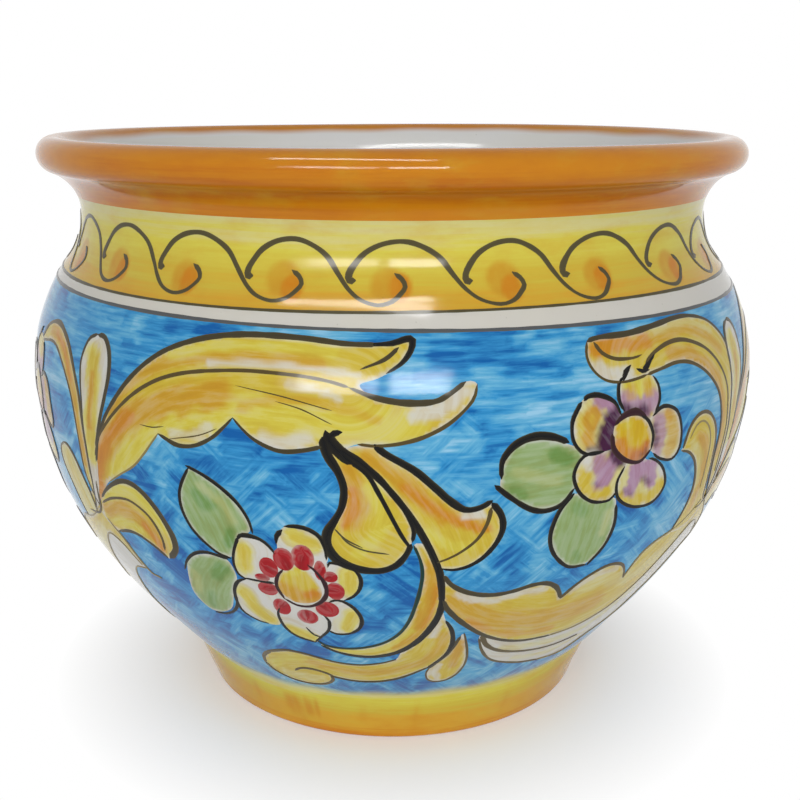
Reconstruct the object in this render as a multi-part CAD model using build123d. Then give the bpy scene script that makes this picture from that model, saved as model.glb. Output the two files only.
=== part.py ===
from build123d import *
from math import atan2, cos, pi, sin
import os

# A round majolica cachepot, thrown in earthenware and glazed. Millimetres, +Z up,
# with the origin on the table under the middle of the foot.

# Heights, stacked from the table up to the lip
foot_height = 23.0          # table to the crease between foot and belly
lower_belly_height = 98.0   # crease to the widest ring of the belly
shoulder_height = 54.5      # widest ring to the waist of the neck
neck_height = 24.5          # waist to the top of the lip

# Rings of the outside, as radii and as steps from the waist and the foot
waist_radius = 109.3
belly_swell = 18.7          # how far the belly stands out beyond the waist
lip_flare = 13.2            # how far the lip stands out beyond the waist
foot_radius = 70.5          # foot at the table
foot_flare = 8.0            # how much wider the foot is at the crease

# Rounds of the outside
belly_sweep_share = 0.91    # turn of the lower belly, out of the turn that one plain arc would make
belly_turn_share = 0.615    # part of that turn in the round arc under the widest ring
neck_round = 26.6           # hollow between shoulder and waist
lip_round = 5.75            # rolled edge
crease_round = 4.0          # hollow between belly and foot
foot_edge_round = 2.0       # worn edges of the standing ring

# Walls, base and glaze
wall = 8.0                  # finished wall, glaze included
base_thickness = 11.0       # finished floor, glaze included
foot_recess = 8.0           # hollow under the base, inside the standing ring
foot_width = 14.0           # standing ring, across its bearing face
floor_round = 14.0          # inside corner between floor and wall
glaze = 0.6                 # fired coat

# Edges of the coloured glazes
orange_depth = 19.3         # from the top of the lip down the outside
orange_turnover = 4.0       # from the top of the lip down the inside
stripe_drop = 0.9           # from the shoulder seam to the white stripe
stripe_width = 7.3
foot_glaze_rise = 1.8       # how far the foot's glaze climbs past the crease

# Rings of the section as points, radius and height
crease = Vector(foot_radius + foot_flare, foot_height)
belly = Vector(waist_radius + belly_swell, foot_height + lower_belly_height)
waist = Vector(waist_radius, belly.Y + shoulder_height)
height = waist.Y + neck_height
floor = foot_recess + base_thickness

# Lower belly: a round arc under the widest ring, then a flatter one that ends in the crease.
# The two radii are what makes both arcs together reach from the widest ring to the crease.
reach = belly - crease
base_turn = 2 * atan2(reach.X, reach.Y) * belly_sweep_share
belly_turn = base_turn * belly_turn_share
round_step = Vector(1 - cos(belly_turn), sin(belly_turn))
flat_step = Vector(cos(belly_turn) - cos(base_turn), sin(base_turn) - sin(belly_turn))
spread = round_step.cross(flat_step).Z
belly_round = reach.cross(flat_step).Z / spread
base_round = round_step.cross(reach).Z / spread
belly_center = belly - Vector(belly_round, 0)
base_ray = Vector(cos(base_turn), -sin(base_turn))
base_center = crease - base_ray * base_round

# Shoulder: rounds over from the widest ring and meets the hollow of the neck
shoulder_round = (belly_swell**2 + shoulder_height**2) / (2 * belly_swell) - neck_round
shoulder_center = belly - Vector(shoulder_round, 0)
neck_center = waist + Vector(neck_round, 0)
neck_ray = neck_center - shoulder_center
neck_turn = atan2(neck_ray.Y, neck_ray.X)

# Lip: the hollow above the waist runs out into the rolled edge
lip_center = Vector(waist_radius + lip_flare - lip_round, height - lip_round)
lip_rise = neck_height - lip_round
lip_lean = lip_flare - lip_round
flare_round = (lip_lean**2 + lip_rise**2 - lip_round**2) / (2 * (lip_lean + lip_round))
flare_center = waist + Vector(flare_round, 0)
lip_turn = atan2(lip_rise, lip_lean - flare_round)

# Throat: the inside of the neck, which thickens from the wall into the rolled edge
throat_lean = lip_lean + wall
throat_round = (throat_lean**2 + lip_rise**2 - lip_round**2) / (2 * (throat_lean - lip_round))
throat_center = waist + Vector(throat_round - wall, 0)
throat_turn = atan2(lip_rise, throat_lean - throat_round)

# Seams of the clay, where the potter joins one thrown section to the next
neck_seam = shoulder_center.Y + shoulder_round * sin(neck_turn)
lip_seam = flare_center.Y + flare_round * sin(lip_turn)

# Heights where one coloured glaze meets the next
orange_edge = height - orange_depth
turnover_edge = height - orange_turnover
stripe_top = neck_seam - stripe_drop
stripe_bottom = stripe_top - stripe_width
foot_glaze_edge = foot_height + foot_glaze_rise


def arc(center, radius, start, end):
    """Arc round a centre, from one direction to another."""
    turns = (start, (start + end) / 2, end)
    points = [center + Vector(radius * cos(turn), radius * sin(turn)) for turn in turns]
    return ThreePointArc(*points)


def closed(corner, arcs):
    """Face of the half section inside a run of arcs, which a straight line joins to a corner below."""
    end = arcs[-1] @ 1
    axis_low = Vector(0, corner.Y)
    axis_high = Vector(0, end.Y)
    return make_face([
        Line(axis_low, corner),
        Line(corner, arcs[0] @ 0),
        *arcs,
        Line(end, axis_high),
        Line(axis_high, axis_low),
    ])


def bowl_outside(inset):
    """Filled half section of bowl, neck and lip, whose base runs on under the foot by one wall."""
    base_corner = Vector(foot_radius - foot_width / 2, foot_recess)
    base_end = base_turn + wall / base_round
    return closed(base_corner, [
        arc(base_center, base_round - inset, -base_end, -belly_turn),
        arc(belly_center, belly_round - inset, -belly_turn, 0),
        arc(shoulder_center, shoulder_round - inset, 0, neck_turn),
        arc(neck_center, neck_round + inset, neck_turn + pi, pi),
        arc(flare_center, flare_round + inset, pi, lip_turn),
        arc(lip_center, lip_round - inset, lip_turn - pi, pi / 2),
    ])


def foot_outside(inset):
    """Half section of the foot, let into the underside of the bowl."""
    slope = Vector(foot_flare, foot_height)
    lean = Vector(inset * slope.length / foot_height, 0)
    top = crease - lean + slope.normalized() * wall
    inner_radius = foot_radius - foot_width
    return make_face(Polyline(
        (inner_radius, 0),
        Vector(foot_radius, 0) - lean,
        top,
        (inner_radius, top.Y),
        close=True,
    ))


def outside(inset):
    """Filled half section of the whole pot, with the hollow between belly and foot rounded."""
    section = bowl_outside(inset) + foot_outside(inset)
    corner = section.vertices().sort_by_distance((crease.X, crease.Y))[0]
    return fillet(corner, crease_round + inset)


def cavity(outset):
    """Half section of the space inside the pot, widened into the wall by an outset.

    Under the belly the wall runs on straight, along the end of its arc, down to the floor.
    """
    base_inside = base_round - wall + outset
    wall_foot = base_center + base_ray * base_inside
    run = (wall_foot.Y - floor + outset) / cos(base_turn)
    floor_corner = wall_foot - Vector(sin(base_turn), cos(base_turn)) * run
    space = closed(floor_corner, [
        arc(base_center, base_inside, -base_turn, -belly_turn),
        arc(belly_center, belly_round - wall + outset, -belly_turn, 0),
        arc(shoulder_center, shoulder_round - wall + outset, 0, neck_turn),
        arc(neck_center, neck_round + wall - outset, neck_turn + pi, pi),
        arc(throat_center, throat_round - outset, pi, throat_turn),
        arc(lip_center, lip_round - outset, throat_turn, pi / 2),
    ])
    corner = space.vertices().sort_by_distance(floor_corner)[0]
    return fillet(corner, floor_round + outset)


def level_band(low, high):
    """Half section of everything between two heights."""
    width = belly.X + lip_flare
    return Pos(width / 2, (low + high) / 2) * Rectangle(width, high - low)


# Half section of the whole pot, with its standing ring worn round
pot = outside(0) - cavity(0)
standing_corners = pot.vertices().group_by(Axis.Y)[0]
pot = fillet(standing_corners, foot_edge_round)

# Clay under the glaze, bare on the underside inside the standing ring
bowl = bowl_outside(glaze)
clay = (outside(glaze) - cavity(glaze)) & pot
coat = pot - clay

# Clay sections: a thrown bowl on a turned foot ring, with a collar and a rolled lip on top
clay_sections = {
    "foot_ring": clay - bowl,
    "thrown_bowl": clay & bowl & level_band(0, neck_seam),
    "neck_collar": clay & level_band(neck_seam, lip_seam),
    "rolled_lip": clay & level_band(lip_seam, height),
}

# Glaze sections: coats of colour round the outside, and a white lining that ends under the lip
lining = coat & cavity(2 * glaze) & level_band(0, turnover_edge)
shell = coat - lining
glaze_sections = {
    "foot_glaze": shell & level_band(0, foot_glaze_edge),
    "belly_glaze": shell & level_band(foot_glaze_edge, stripe_bottom),
    "shoulder_glaze": shell & level_band(stripe_bottom, stripe_top),
    "neck_glaze": shell & level_band(stripe_top, orange_edge),
    "lip_glaze": shell & level_band(orange_edge, height),
    "lining_glaze": lining,
}

os.makedirs("parts", exist_ok=True)
for name, section in (clay_sections | glaze_sections).items():
    export_step(revolve(Plane.XZ * section, Axis.Z), f"parts/{name}.step")
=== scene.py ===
import logging
import math
from collections import defaultdict
from collections.abc import Callable
from dataclasses import dataclass, field
from enum import Enum
from typing import ClassVar

import bpy
import numpy as np
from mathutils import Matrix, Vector
from mathutils.geometry import delaunay_2d_cdt


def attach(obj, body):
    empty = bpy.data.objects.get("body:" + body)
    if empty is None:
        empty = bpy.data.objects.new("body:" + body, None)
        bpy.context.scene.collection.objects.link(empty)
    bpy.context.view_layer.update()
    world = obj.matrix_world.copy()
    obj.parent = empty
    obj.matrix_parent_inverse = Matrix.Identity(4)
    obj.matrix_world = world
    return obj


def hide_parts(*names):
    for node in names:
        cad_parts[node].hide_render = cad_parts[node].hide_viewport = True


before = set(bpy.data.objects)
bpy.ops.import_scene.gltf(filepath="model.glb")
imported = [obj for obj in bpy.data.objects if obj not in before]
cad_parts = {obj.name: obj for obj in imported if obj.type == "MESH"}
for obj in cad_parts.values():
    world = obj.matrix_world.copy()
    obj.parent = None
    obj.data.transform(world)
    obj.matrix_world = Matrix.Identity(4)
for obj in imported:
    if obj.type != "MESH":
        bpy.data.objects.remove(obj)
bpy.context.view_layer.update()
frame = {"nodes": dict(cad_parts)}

LOG = logging.getLogger("cachepot")
MM = 0.001
SHEET_RADIUS = 120.0   # the painting is laid out flat at this radius, in mm
LAYOUT_RUN = 210.0     # length of the section that the baked layout of the painting holds, in mm
FULL_TURN = 2 * math.pi
STROKE_TURNS = (0.0, 0.8, -0.75)   # directions of the brush in the blue ground, in radians from level
ALL_WHITE = (1.0, 1.0, 1.0, 1.0)

Pair = tuple[float, float]
Triple = tuple[float, float, float]
Points = list[Pair]
Values = dict[str, np.ndarray]
Edge = float | Callable[[np.ndarray], np.ndarray]
Socket = bpy.types.NodeSocket


class Paint(Enum):
    """Colours on the painter's table, as they look fired, 0 to 255."""

    MILK = (224, 223, 221)
    WHITE = (208, 207, 202)
    CREAM = (210, 203, 138)
    LEMON = (212, 202, 78)
    YELLOW = (206, 184, 62)
    GOLD = (208, 176, 28)
    HONEY = (212, 165, 48)
    OCHRE = (200, 152, 40)
    ORANGE = (202, 128, 20)
    RUST = (188, 105, 18)
    SAGE = (144, 170, 112)
    GREEN = (98, 146, 72)
    RED = (168, 16, 30)
    CRIMSON = (120, 8, 22)
    MAUVE = (172, 134, 164)
    PLUM = (66, 16, 62)
    MAROON = (46, 10, 26)
    PALE_BLUE = (150, 200, 228)
    SKY = (100, 176, 214)
    AZURE = (50, 146, 203)
    COBALT = (0, 92, 166)
    INK = (10, 11, 14)
    SEPIA = (64, 57, 38)
    UMBER = (84, 70, 38)
    OLIVE = (78, 72, 47)
    SLATE = (84, 88, 92)
    PINE = (16, 52, 46)
    FAINT = (140, 124, 74)
    CLAY = (186, 122, 88)

    def linear(self) -> np.ndarray:
        """The colour in linear light, 0 to 1."""
        share = np.array(self.value, float) / 255
        return np.where(share <= 0.04045, share / 12.92, ((share + 0.055) / 1.055) ** 2.4)

    def rgba(self) -> tuple[float, float, float, float]:
        """The linear colour with full cover, for a shader socket."""
        return (*map(float, self.linear()), 1.0)


def smooth(value: np.ndarray, low: float, high: float) -> np.ndarray:
    """Soft step from 0 at low to 1 at high."""
    t = np.clip((value - low) / (high - low), 0, 1)
    return t * t * (3 - 2 * t)


def spline(points: np.ndarray, closed: bool, spacing: float) -> np.ndarray:
    """Draws a smooth line through points.

    Args:
        points: Places on the flat sheet, in mm.
        closed: Whether the line returns to its first point.
        spacing: Length of one step along the line, in mm.

    Returns:
        Points along the line.
    """
    if closed:
        knots = np.vstack([points[-1:], points, points[:2]])
    else:
        knots = np.vstack([2 * points[0] - points[1], points, 2 * points[-1] - points[-2]])
    line = []
    for a, b, c, d in zip(knots, knots[1:], knots[2:], knots[3:]):
        count = max(2, int(np.linalg.norm(c - b) / spacing))
        t = (np.arange(count) / count)[:, None]
        line.append(0.5 * (2 * b + (c - a) * t + (2 * a - 5 * b + 4 * c - d) * t**2
                           + (3 * b - a - 3 * c + d) * t**3))
    if not closed:
        line.append(points[-1:])
    return np.vstack(line)


def nearest(places: np.ndarray, line: np.ndarray) -> tuple[np.ndarray, np.ndarray, np.ndarray]:
    """Finds where points lie beside a line.

    Args:
        places: Points, in mm.
        line: Points along the line, in mm.

    Returns:
        Distance to the line, length along it, and side, which is 1 or -1.
    """
    a, step = line[:-1], np.diff(line, axis=0)
    length = np.maximum(np.linalg.norm(step, axis=1), 1e-9)
    run = np.concatenate([[0], np.cumsum(length)])
    away, along, side = [], [], []
    for block in np.array_split(places, max(1, len(places) // 400)):
        off = block[:, None, :] - a[None]
        t = np.clip((off * step).sum(2) / length**2, 0, 1)
        gap = off - t[..., None] * step
        far = np.linalg.norm(gap, axis=2)
        i = far.argmin(1)
        k = np.arange(len(block))
        away.append(far[k, i])
        along.append(run[i] + t[k, i] * length[i])
        side.append(np.where(step[i, 0] * off[k, i, 1] - step[i, 1] * off[k, i, 0] >= 0, 1.0, -1.0))
    return np.concatenate(away), np.concatenate(along), np.concatenate(side)


def inside(places: np.ndarray, outline: np.ndarray) -> np.ndarray:
    """Tells which points lie inside a closed outline.

    Args:
        places: Points, in mm.
        outline: Corners of the outline, in mm.

    Returns:
        True for each point inside.
    """
    x, y = places[:, :1], places[:, 1:]
    a, b = outline, np.roll(outline, -1, axis=0)
    crosses = (a[:, 1] > y) != (b[:, 1] > y)
    rise = np.where(b[:, 1] == a[:, 1], 1e-12, b[:, 1] - a[:, 1])
    return (crosses & (x < (b[:, 0] - a[:, 0]) * (y - a[:, 1]) / rise + a[:, 0])).sum(1) % 2 == 1


def ripple(places: np.ndarray, size: float, seed: int) -> np.ndarray:
    """Smooth hand unevenness over the sheet.

    Args:
        places: Points, in mm.
        size: Rough distance between two swells, in mm.
        seed: Number that picks the pattern.

    Returns:
        Values from about -1 to 1.
    """
    rng = np.random.default_rng(seed)
    turns = rng.uniform(0, FULL_TURN, 7)
    phases = rng.uniform(0, FULL_TURN, 7)
    lengths = size * rng.uniform(0.6, 1.5, 7)
    total = np.zeros(len(places))
    for turn, phase, length in zip(turns, phases, lengths):
        total += np.sin((places @ (math.cos(turn), math.sin(turn))) * FULL_TURN / length + phase)
    return total / 4


def laid(under: np.ndarray, paint: Paint, cover: np.ndarray) -> np.ndarray:
    """Lays a paint over colours, by how much it covers."""
    return under + (paint.linear() - under) * np.clip(cover, 0, 1)[:, None]


def cross(first: np.ndarray, second: np.ndarray) -> float:
    """Area that two steps span."""
    return first[0] * second[1] - first[1] * second[0]


def ray(turn: float) -> np.ndarray:
    """Step of length 1 in a direction, in radians."""
    return np.array([math.cos(turn), math.sin(turn)])


def turn_of(step: np.ndarray) -> float:
    """Direction of a step, in radians."""
    return math.atan2(step[1], step[0])


@dataclass
class PotForm:
    """Section of the pot in millimetres, with the rings and rounds that its solids have."""

    foot_height: float = 23.0
    lower_belly_height: float = 98.0
    shoulder_height: float = 54.5
    neck_height: float = 24.5
    waist_radius: float = 109.3
    belly_swell: float = 18.7
    lip_flare: float = 13.2
    foot_radius: float = 70.5
    foot_flare: float = 8.0
    belly_sweep_share: float = 0.91
    belly_turn_share: float = 0.615
    neck_round: float = 26.6
    lip_round: float = 5.75
    crease_round: float = 4.0
    foot_edge_round: float = 2.0
    wall: float = 8.0
    floor: float = 19.0
    floor_round: float = 14.0
    glaze: float = 0.6
    crease_sag: float = 2.1         # how far the crease hangs lower than the solid's
    sag_rise: Pair = (2.0, 18.0)
    sag_fall: Pair = (24.0, 38.0)
    lobe_sway: float = 0.16         # how far the thrown wall is out of round, three times a turn
    oval_sway: float = 0.10         # the same, twice a turn
    sway_climb: float = 21.0
    ring_depth: float = 0.09        # throwing rings
    ring_step: float = 2.9
    ring_patch: float = 17.0
    even_radius: float = 50.0       # within this radius, and under this height, the wall is even
    even_height: float = 8.0
    step: float = 0.2
    section: np.ndarray = field(init=False)
    run: np.ndarray = field(init=False)
    top: int = field(init=False)

    def __post_init__(self) -> None:
        """Works out the section once, as radius, height and outward direction."""
        self.section = self.draw()
        gaps = np.linalg.norm(np.diff(self.section[:, :2], axis=0), axis=1)
        self.run = np.concatenate([[0], np.cumsum(np.maximum(gaps, 1e-7))])
        self.top = int(self.section[:, 1].argmax())

    def arc(self, center: np.ndarray, radius: float, start: float, end: float, out: int) -> np.ndarray:
        """Points of an arc of the section.

        Args:
            center: Middle of the arc, in mm.
            radius: Radius, in mm.
            start: First direction, in radians.
            end: Last direction, in radians.
            out: 1 where the surface faces away from the middle, -1 where it faces it.

        Returns:
            Rows of radius, height and outward direction.
        """
        turns = np.linspace(start, end, max(3, int(abs(end - start) * radius / self.step)))
        rays = np.stack([np.cos(turns), np.sin(turns)], 1)
        return np.hstack([center + radius * rays, out * rays])

    def draw(self) -> np.ndarray:
        """Draws the section from the standing edge over the lip and down to the floor.

        Returns:
            Rows of radius, height and outward direction.
        """
        crease = np.array([self.foot_radius + self.foot_flare, self.foot_height])
        belly = np.array([self.waist_radius + self.belly_swell, self.foot_height + self.lower_belly_height])
        waist = np.array([self.waist_radius, belly[1] + self.shoulder_height])
        height = waist[1] + self.neck_height
        reach = belly - crease
        base_turn = 2 * math.atan2(*reach) * self.belly_sweep_share
        belly_turn = base_turn * self.belly_turn_share
        round_step = (ray(0) - ray(belly_turn)) * (1, -1)
        flat_step = (ray(belly_turn) - ray(base_turn)) * (1, -1)
        belly_round = cross(reach, flat_step) / cross(round_step, flat_step)
        base_round = cross(round_step, reach) / cross(round_step, flat_step)
        belly_mid = belly - (belly_round, 0)
        base_mid = crease - base_round * ray(-base_turn)
        shoulder_round = ((self.belly_swell**2 + self.shoulder_height**2) / (2 * self.belly_swell)
                          - self.neck_round)
        shoulder_mid = belly - (shoulder_round, 0)
        neck_mid = waist + (self.neck_round, 0)
        neck_turn = turn_of(neck_mid - shoulder_mid)
        lean, rise = self.lip_flare - self.lip_round, self.neck_height - self.lip_round
        lip_mid = np.array([self.waist_radius + lean, height - self.lip_round])
        flare_round = (lean**2 + rise**2 - self.lip_round**2) / (2 * (lean + self.lip_round))
        lip_turn = math.atan2(rise, lean - flare_round)
        throat = lean + self.wall
        throat_round = (throat**2 + rise**2 - self.lip_round**2) / (2 * (throat - self.lip_round))
        throat_turn = math.atan2(rise, throat - throat_round)
        slope = np.array([self.foot_flare, self.foot_height]) / math.hypot(self.foot_flare, self.foot_height)
        face = np.array([slope[1], -slope[0]])
        edge = self.foot_edge_round
        edge_mid = np.array([self.foot_radius + (edge * slope[0] - edge) / slope[1], edge])
        groove = self.crease_round
        from_base = crease + groove * face - base_mid
        along = slope @ from_base
        root = math.sqrt(along**2 - from_base @ from_base + (base_round + groove) ** 2)
        groove_mid = crease + groove * face + slope * min(root - along, -root - along, key=abs)
        to_base = base_mid - groove_mid
        wall_foot = base_mid + (base_round - self.wall) * ray(-base_turn)
        inward = -ray(-base_turn)
        corner_height = self.floor + self.floor_round
        corner_step = (self.floor_round - inward[1] * (corner_height - wall_foot[1])) / inward[0]
        corner_mid = np.array([wall_foot[0] + corner_step, corner_height])
        return np.vstack([
            self.arc(edge_mid, edge, -math.pi / 2, turn_of(face), 1),
            self.arc(groove_mid, groove, turn_of(-face), turn_of(to_base), -1),
            self.arc(base_mid, base_round, turn_of(-to_base), -belly_turn, 1),
            self.arc(belly_mid, belly_round, -belly_turn, 0, 1),
            self.arc(shoulder_mid, shoulder_round, 0, neck_turn, 1),
            self.arc(neck_mid, self.neck_round, neck_turn + math.pi, math.pi, -1),
            self.arc(waist + (flare_round, 0), flare_round, math.pi, lip_turn, -1),
            self.arc(lip_mid, self.lip_round, lip_turn - math.pi, throat_turn, 1),
            self.arc(waist + (throat_round - self.wall, 0), throat_round, throat_turn, math.pi, 1),
            self.arc(neck_mid, self.neck_round + self.wall, math.pi, neck_turn + math.pi, 1),
            self.arc(shoulder_mid, shoulder_round - self.wall, neck_turn, 0, -1),
            self.arc(belly_mid, belly_round - self.wall, 0, -belly_turn, -1),
            self.arc(base_mid, base_round - self.wall, -belly_turn, -base_turn, -1),
            self.arc(corner_mid, self.floor_round, -base_turn, -math.pi / 2, -1),
            np.array([[0.0, self.floor, 0.0, 1.0]]),
        ])

    def level(self, height: np.ndarray | float) -> np.ndarray:
        """Length along the outside of the section up to a height, in mm."""
        return np.interp(height, self.section[:self.top, 1], self.run[:self.top])

    def inner_level(self, height: float) -> float:
        """Length along the section, over the lip, down to a height inside, in mm."""
        return float(np.interp(-height, -self.section[self.top:, 1], self.run[self.top:]))

    def sheet(self, points: Points) -> np.ndarray:
        """Places given by angle in degrees and height in mm, laid out flat in mm."""
        given = np.array(points, float)
        return np.stack([np.radians(given[:, 0]) * SHEET_RADIUS, self.level(given[:, 1])], 1)

    def height(self, run: np.ndarray) -> np.ndarray:
        """Height of the pot at lengths along the section, in mm."""
        return np.interp(run, self.run, self.section[:, 1])

    def radius(self, run: np.ndarray) -> np.ndarray:
        """Radius of the pot at lengths along the section, in mm."""
        return np.interp(run, self.run, self.section[:, 0])

    def place(self, angle: np.ndarray, run: np.ndarray, lift: np.ndarray | float = 0.0) -> np.ndarray:
        """Puts points on the pot, with the slight unevenness of a hand-thrown wall.

        Args:
            angle: Angles round the pot from its front, in radians.
            run: Lengths along the section, in mm.
            lift: Heights above the glaze, in mm.

        Returns:
            Points in metres.
        """
        r, z, face_r, face_z = (np.interp(run, self.run, column) for column in self.section.T)
        sway = (self.lobe_sway * np.sin(3 * angle + 0.6)
                + self.oval_sway * np.sin(2 * angle + z / self.sway_climb))
        rings = (self.ring_depth * np.sin(run / self.ring_step + 1.4 * np.sin(angle))
                 * (0.6 + 0.4 * np.sin(run / self.ring_patch)))
        uneven = (sway + rings) * np.clip(r / self.even_radius, 0, 1) * np.clip(z / self.even_height, 0, 1)
        out = lift + uneven
        r, z = r + out * face_r, z + out * face_z
        sag = np.where(run < self.run[self.top], self.crease_sag, 0.0)
        z = z - sag * smooth(z, *self.sag_rise) * (1 - smooth(z, *self.sag_fall))
        return np.stack([r * np.sin(angle), -r * np.cos(angle), z], -1) * MM

    def normal(self, angle: np.ndarray, run: np.ndarray) -> np.ndarray:
        """Outward directions of the uneven wall, for smooth shading.

        Args:
            angle: Angles round the pot from its front, in radians.
            run: Lengths along the section, in mm.

        Returns:
            Directions of length 1.
        """
        turn, step = 0.004, 0.4
        across = self.place(angle + turn, run) - self.place(angle - turn, run)
        up = self.place(angle, run + step) - self.place(angle, run - step)
        out = np.cross(across, up)
        return out / np.maximum(np.linalg.norm(out, axis=-1, keepdims=True), 1e-12)


@dataclass(frozen=True)
class Grain:
    """A pattern of noise: how fine, how detailed and how rough it is, and its stretch along each axis."""

    scale: float
    detail: float = 3.0
    roughness: float = 0.55
    stretch: Triple | None = None


class Nodes:
    """A material's nodes, with short calls for what the finishes share."""

    def __init__(self, name: str) -> None:
        """Starts a material with a shader and nothing else.

        Args:
            name: Name of the material.
        """
        self.material = bpy.data.materials.new(name)
        self.material.use_nodes = True
        self.tree = self.material.node_tree
        self.tree.nodes.clear()
        self.shader = self.add("ShaderNodeBsdfPrincipled")
        self.output = self.add("ShaderNodeOutputMaterial")
        self.tree.links.new(self.shader.outputs[0], self.output.inputs[0])

    def add(self, kind: str, inputs: dict | None = None, **settings: object) -> bpy.types.Node:
        """Adds a node.

        Args:
            kind: Blender's name for the node.
            inputs: Values or sockets for its inputs, by name or number.
            **settings: Other values of the node.

        Returns:
            The node.
        """
        node = self.tree.nodes.new(kind)
        for name, value in settings.items():
            setattr(node, name, value)
        for name, value in (inputs or {}).items():
            self.plug(value, node.inputs[name])
        return node

    def plug(self, value: object, place: Socket) -> None:
        """Joins a socket to an input, or sets the input to a value.

        Args:
            value: Socket or value.
            place: The input.
        """
        if isinstance(value, Socket):
            self.tree.links.new(value, place)
        else:
            place.default_value = value

    def place(self) -> Socket:
        """Place on the object, in metres."""
        return self.add("ShaderNodeTexCoord").outputs["Object"]

    def carried(self, name: str, kind: str = "Fac") -> Socket:
        """A value that the mesh carries, as a number, a vector or a colour."""
        return self.add("ShaderNodeAttribute", attribute_name=name).outputs[kind]

    def noise(self, vector: Socket, grain: Grain) -> Socket:
        """Noise from 0 to 1.

        Args:
            vector: Where to take the noise.
            grain: Its pattern.

        Returns:
            The noise.
        """
        if grain.stretch:
            settings = {0: vector, 1: grain.stretch}
            vector = self.add("ShaderNodeVectorMath", settings, operation="MULTIPLY").outputs[0]
        settings = {"Vector": vector, "Scale": grain.scale, "Detail": grain.detail,
                    "Roughness": grain.roughness}
        return self.add("ShaderNodeTexNoise", settings).outputs[0]

    def fit(self, value: Socket, low: float, high: float, to_low: float = 0.0,
            to_high: float = 1.0) -> Socket:
        """Stretches a value from one range to another, held at both ends."""
        settings = {0: value, 1: low, 2: high, 3: to_low, 4: to_high}
        return self.add("ShaderNodeMapRange", settings, clamp=True).outputs[0]

    def math(self, operation: str, a: object, b: object = 0.0) -> Socket:
        """A sum of two values, or of one."""
        return self.add("ShaderNodeMath", {0: a, 1: b}, operation=operation).outputs[0]

    def mix(self, share: object, a: object, b: object, blend: str = "MIX") -> Socket:
        """Mixes two colours."""
        settings = {0: share, 6: a, 7: b}
        return self.add("ShaderNodeMix", settings, data_type="RGBA", blend_type=blend).outputs[2]

    def ramp(self, value: Socket, stops: tuple[tuple[float, Paint], ...]) -> Socket:
        """A run of colours along a value.

        Args:
            value: Where along the run.
            stops: Places along the run, 0 to 1, with their colours.

        Returns:
            The colour.
        """
        node = self.add("ShaderNodeValToRGB", {0: value})
        elements = node.color_ramp.elements
        while len(elements) < len(stops):
            elements.new(1.0)
        for element, (place, paint) in zip(elements, stops):
            element.position = place
            element.color = paint.rgba()
        return node.outputs[0]

    def finish(self, colour: Socket, roughness: object, relief: Socket,
               depth: float) -> bpy.types.Material:
        """Joins colour, gloss and relief to the shader.

        Args:
            colour: Colour of the surface.
            roughness: Roughness, as a number or a socket.
            relief: Height of the relief, 0 to 1.
            depth: Depth of the relief, in mm.

        Returns:
            The finished material.
        """
        bump = self.add("ShaderNodeBump", {"Height": relief, "Strength": 1.0, "Distance": depth * MM})
        for name, value in (("Base Color", colour), ("Roughness", roughness), ("Normal", bump.outputs[0])):
            self.plug(value, self.shader.inputs[name])
        return self.material


@dataclass(frozen=True)
class GlossGlaze:
    """Fired tin glaze: hard, wet looking and slightly uneven."""

    name: str
    gloss: Pair = (0.07, 0.17)
    swell: float = 0.05
    refraction: ClassVar[float] = 1.5
    mirroring: ClassVar[float] = 0.16
    pin_marks: ClassVar[float] = 0.16

    def close(self, nodes: Nodes, colour: Socket) -> bpy.types.Material:
        """Gives a coloured glaze its gloss and its soft swells.

        Args:
            nodes: Nodes of the material.
            colour: Colour of the glaze.

        Returns:
            The finished material.
        """
        place = nodes.place()
        roughness = nodes.fit(nodes.noise(place, Grain(38.0, 4.0)), 0.35, 0.7, *self.gloss)
        pins = nodes.math("MULTIPLY", nodes.noise(place, Grain(420.0, 2.0)), self.pin_marks)
        swells = nodes.math("ADD", nodes.noise(place, Grain(55.0, 2.0)), pins)
        nodes.shader.inputs["IOR"].default_value = self.refraction
        nodes.shader.inputs["Specular IOR Level"].default_value = self.mirroring
        return nodes.finish(colour, roughness, swells, self.swell)


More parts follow.
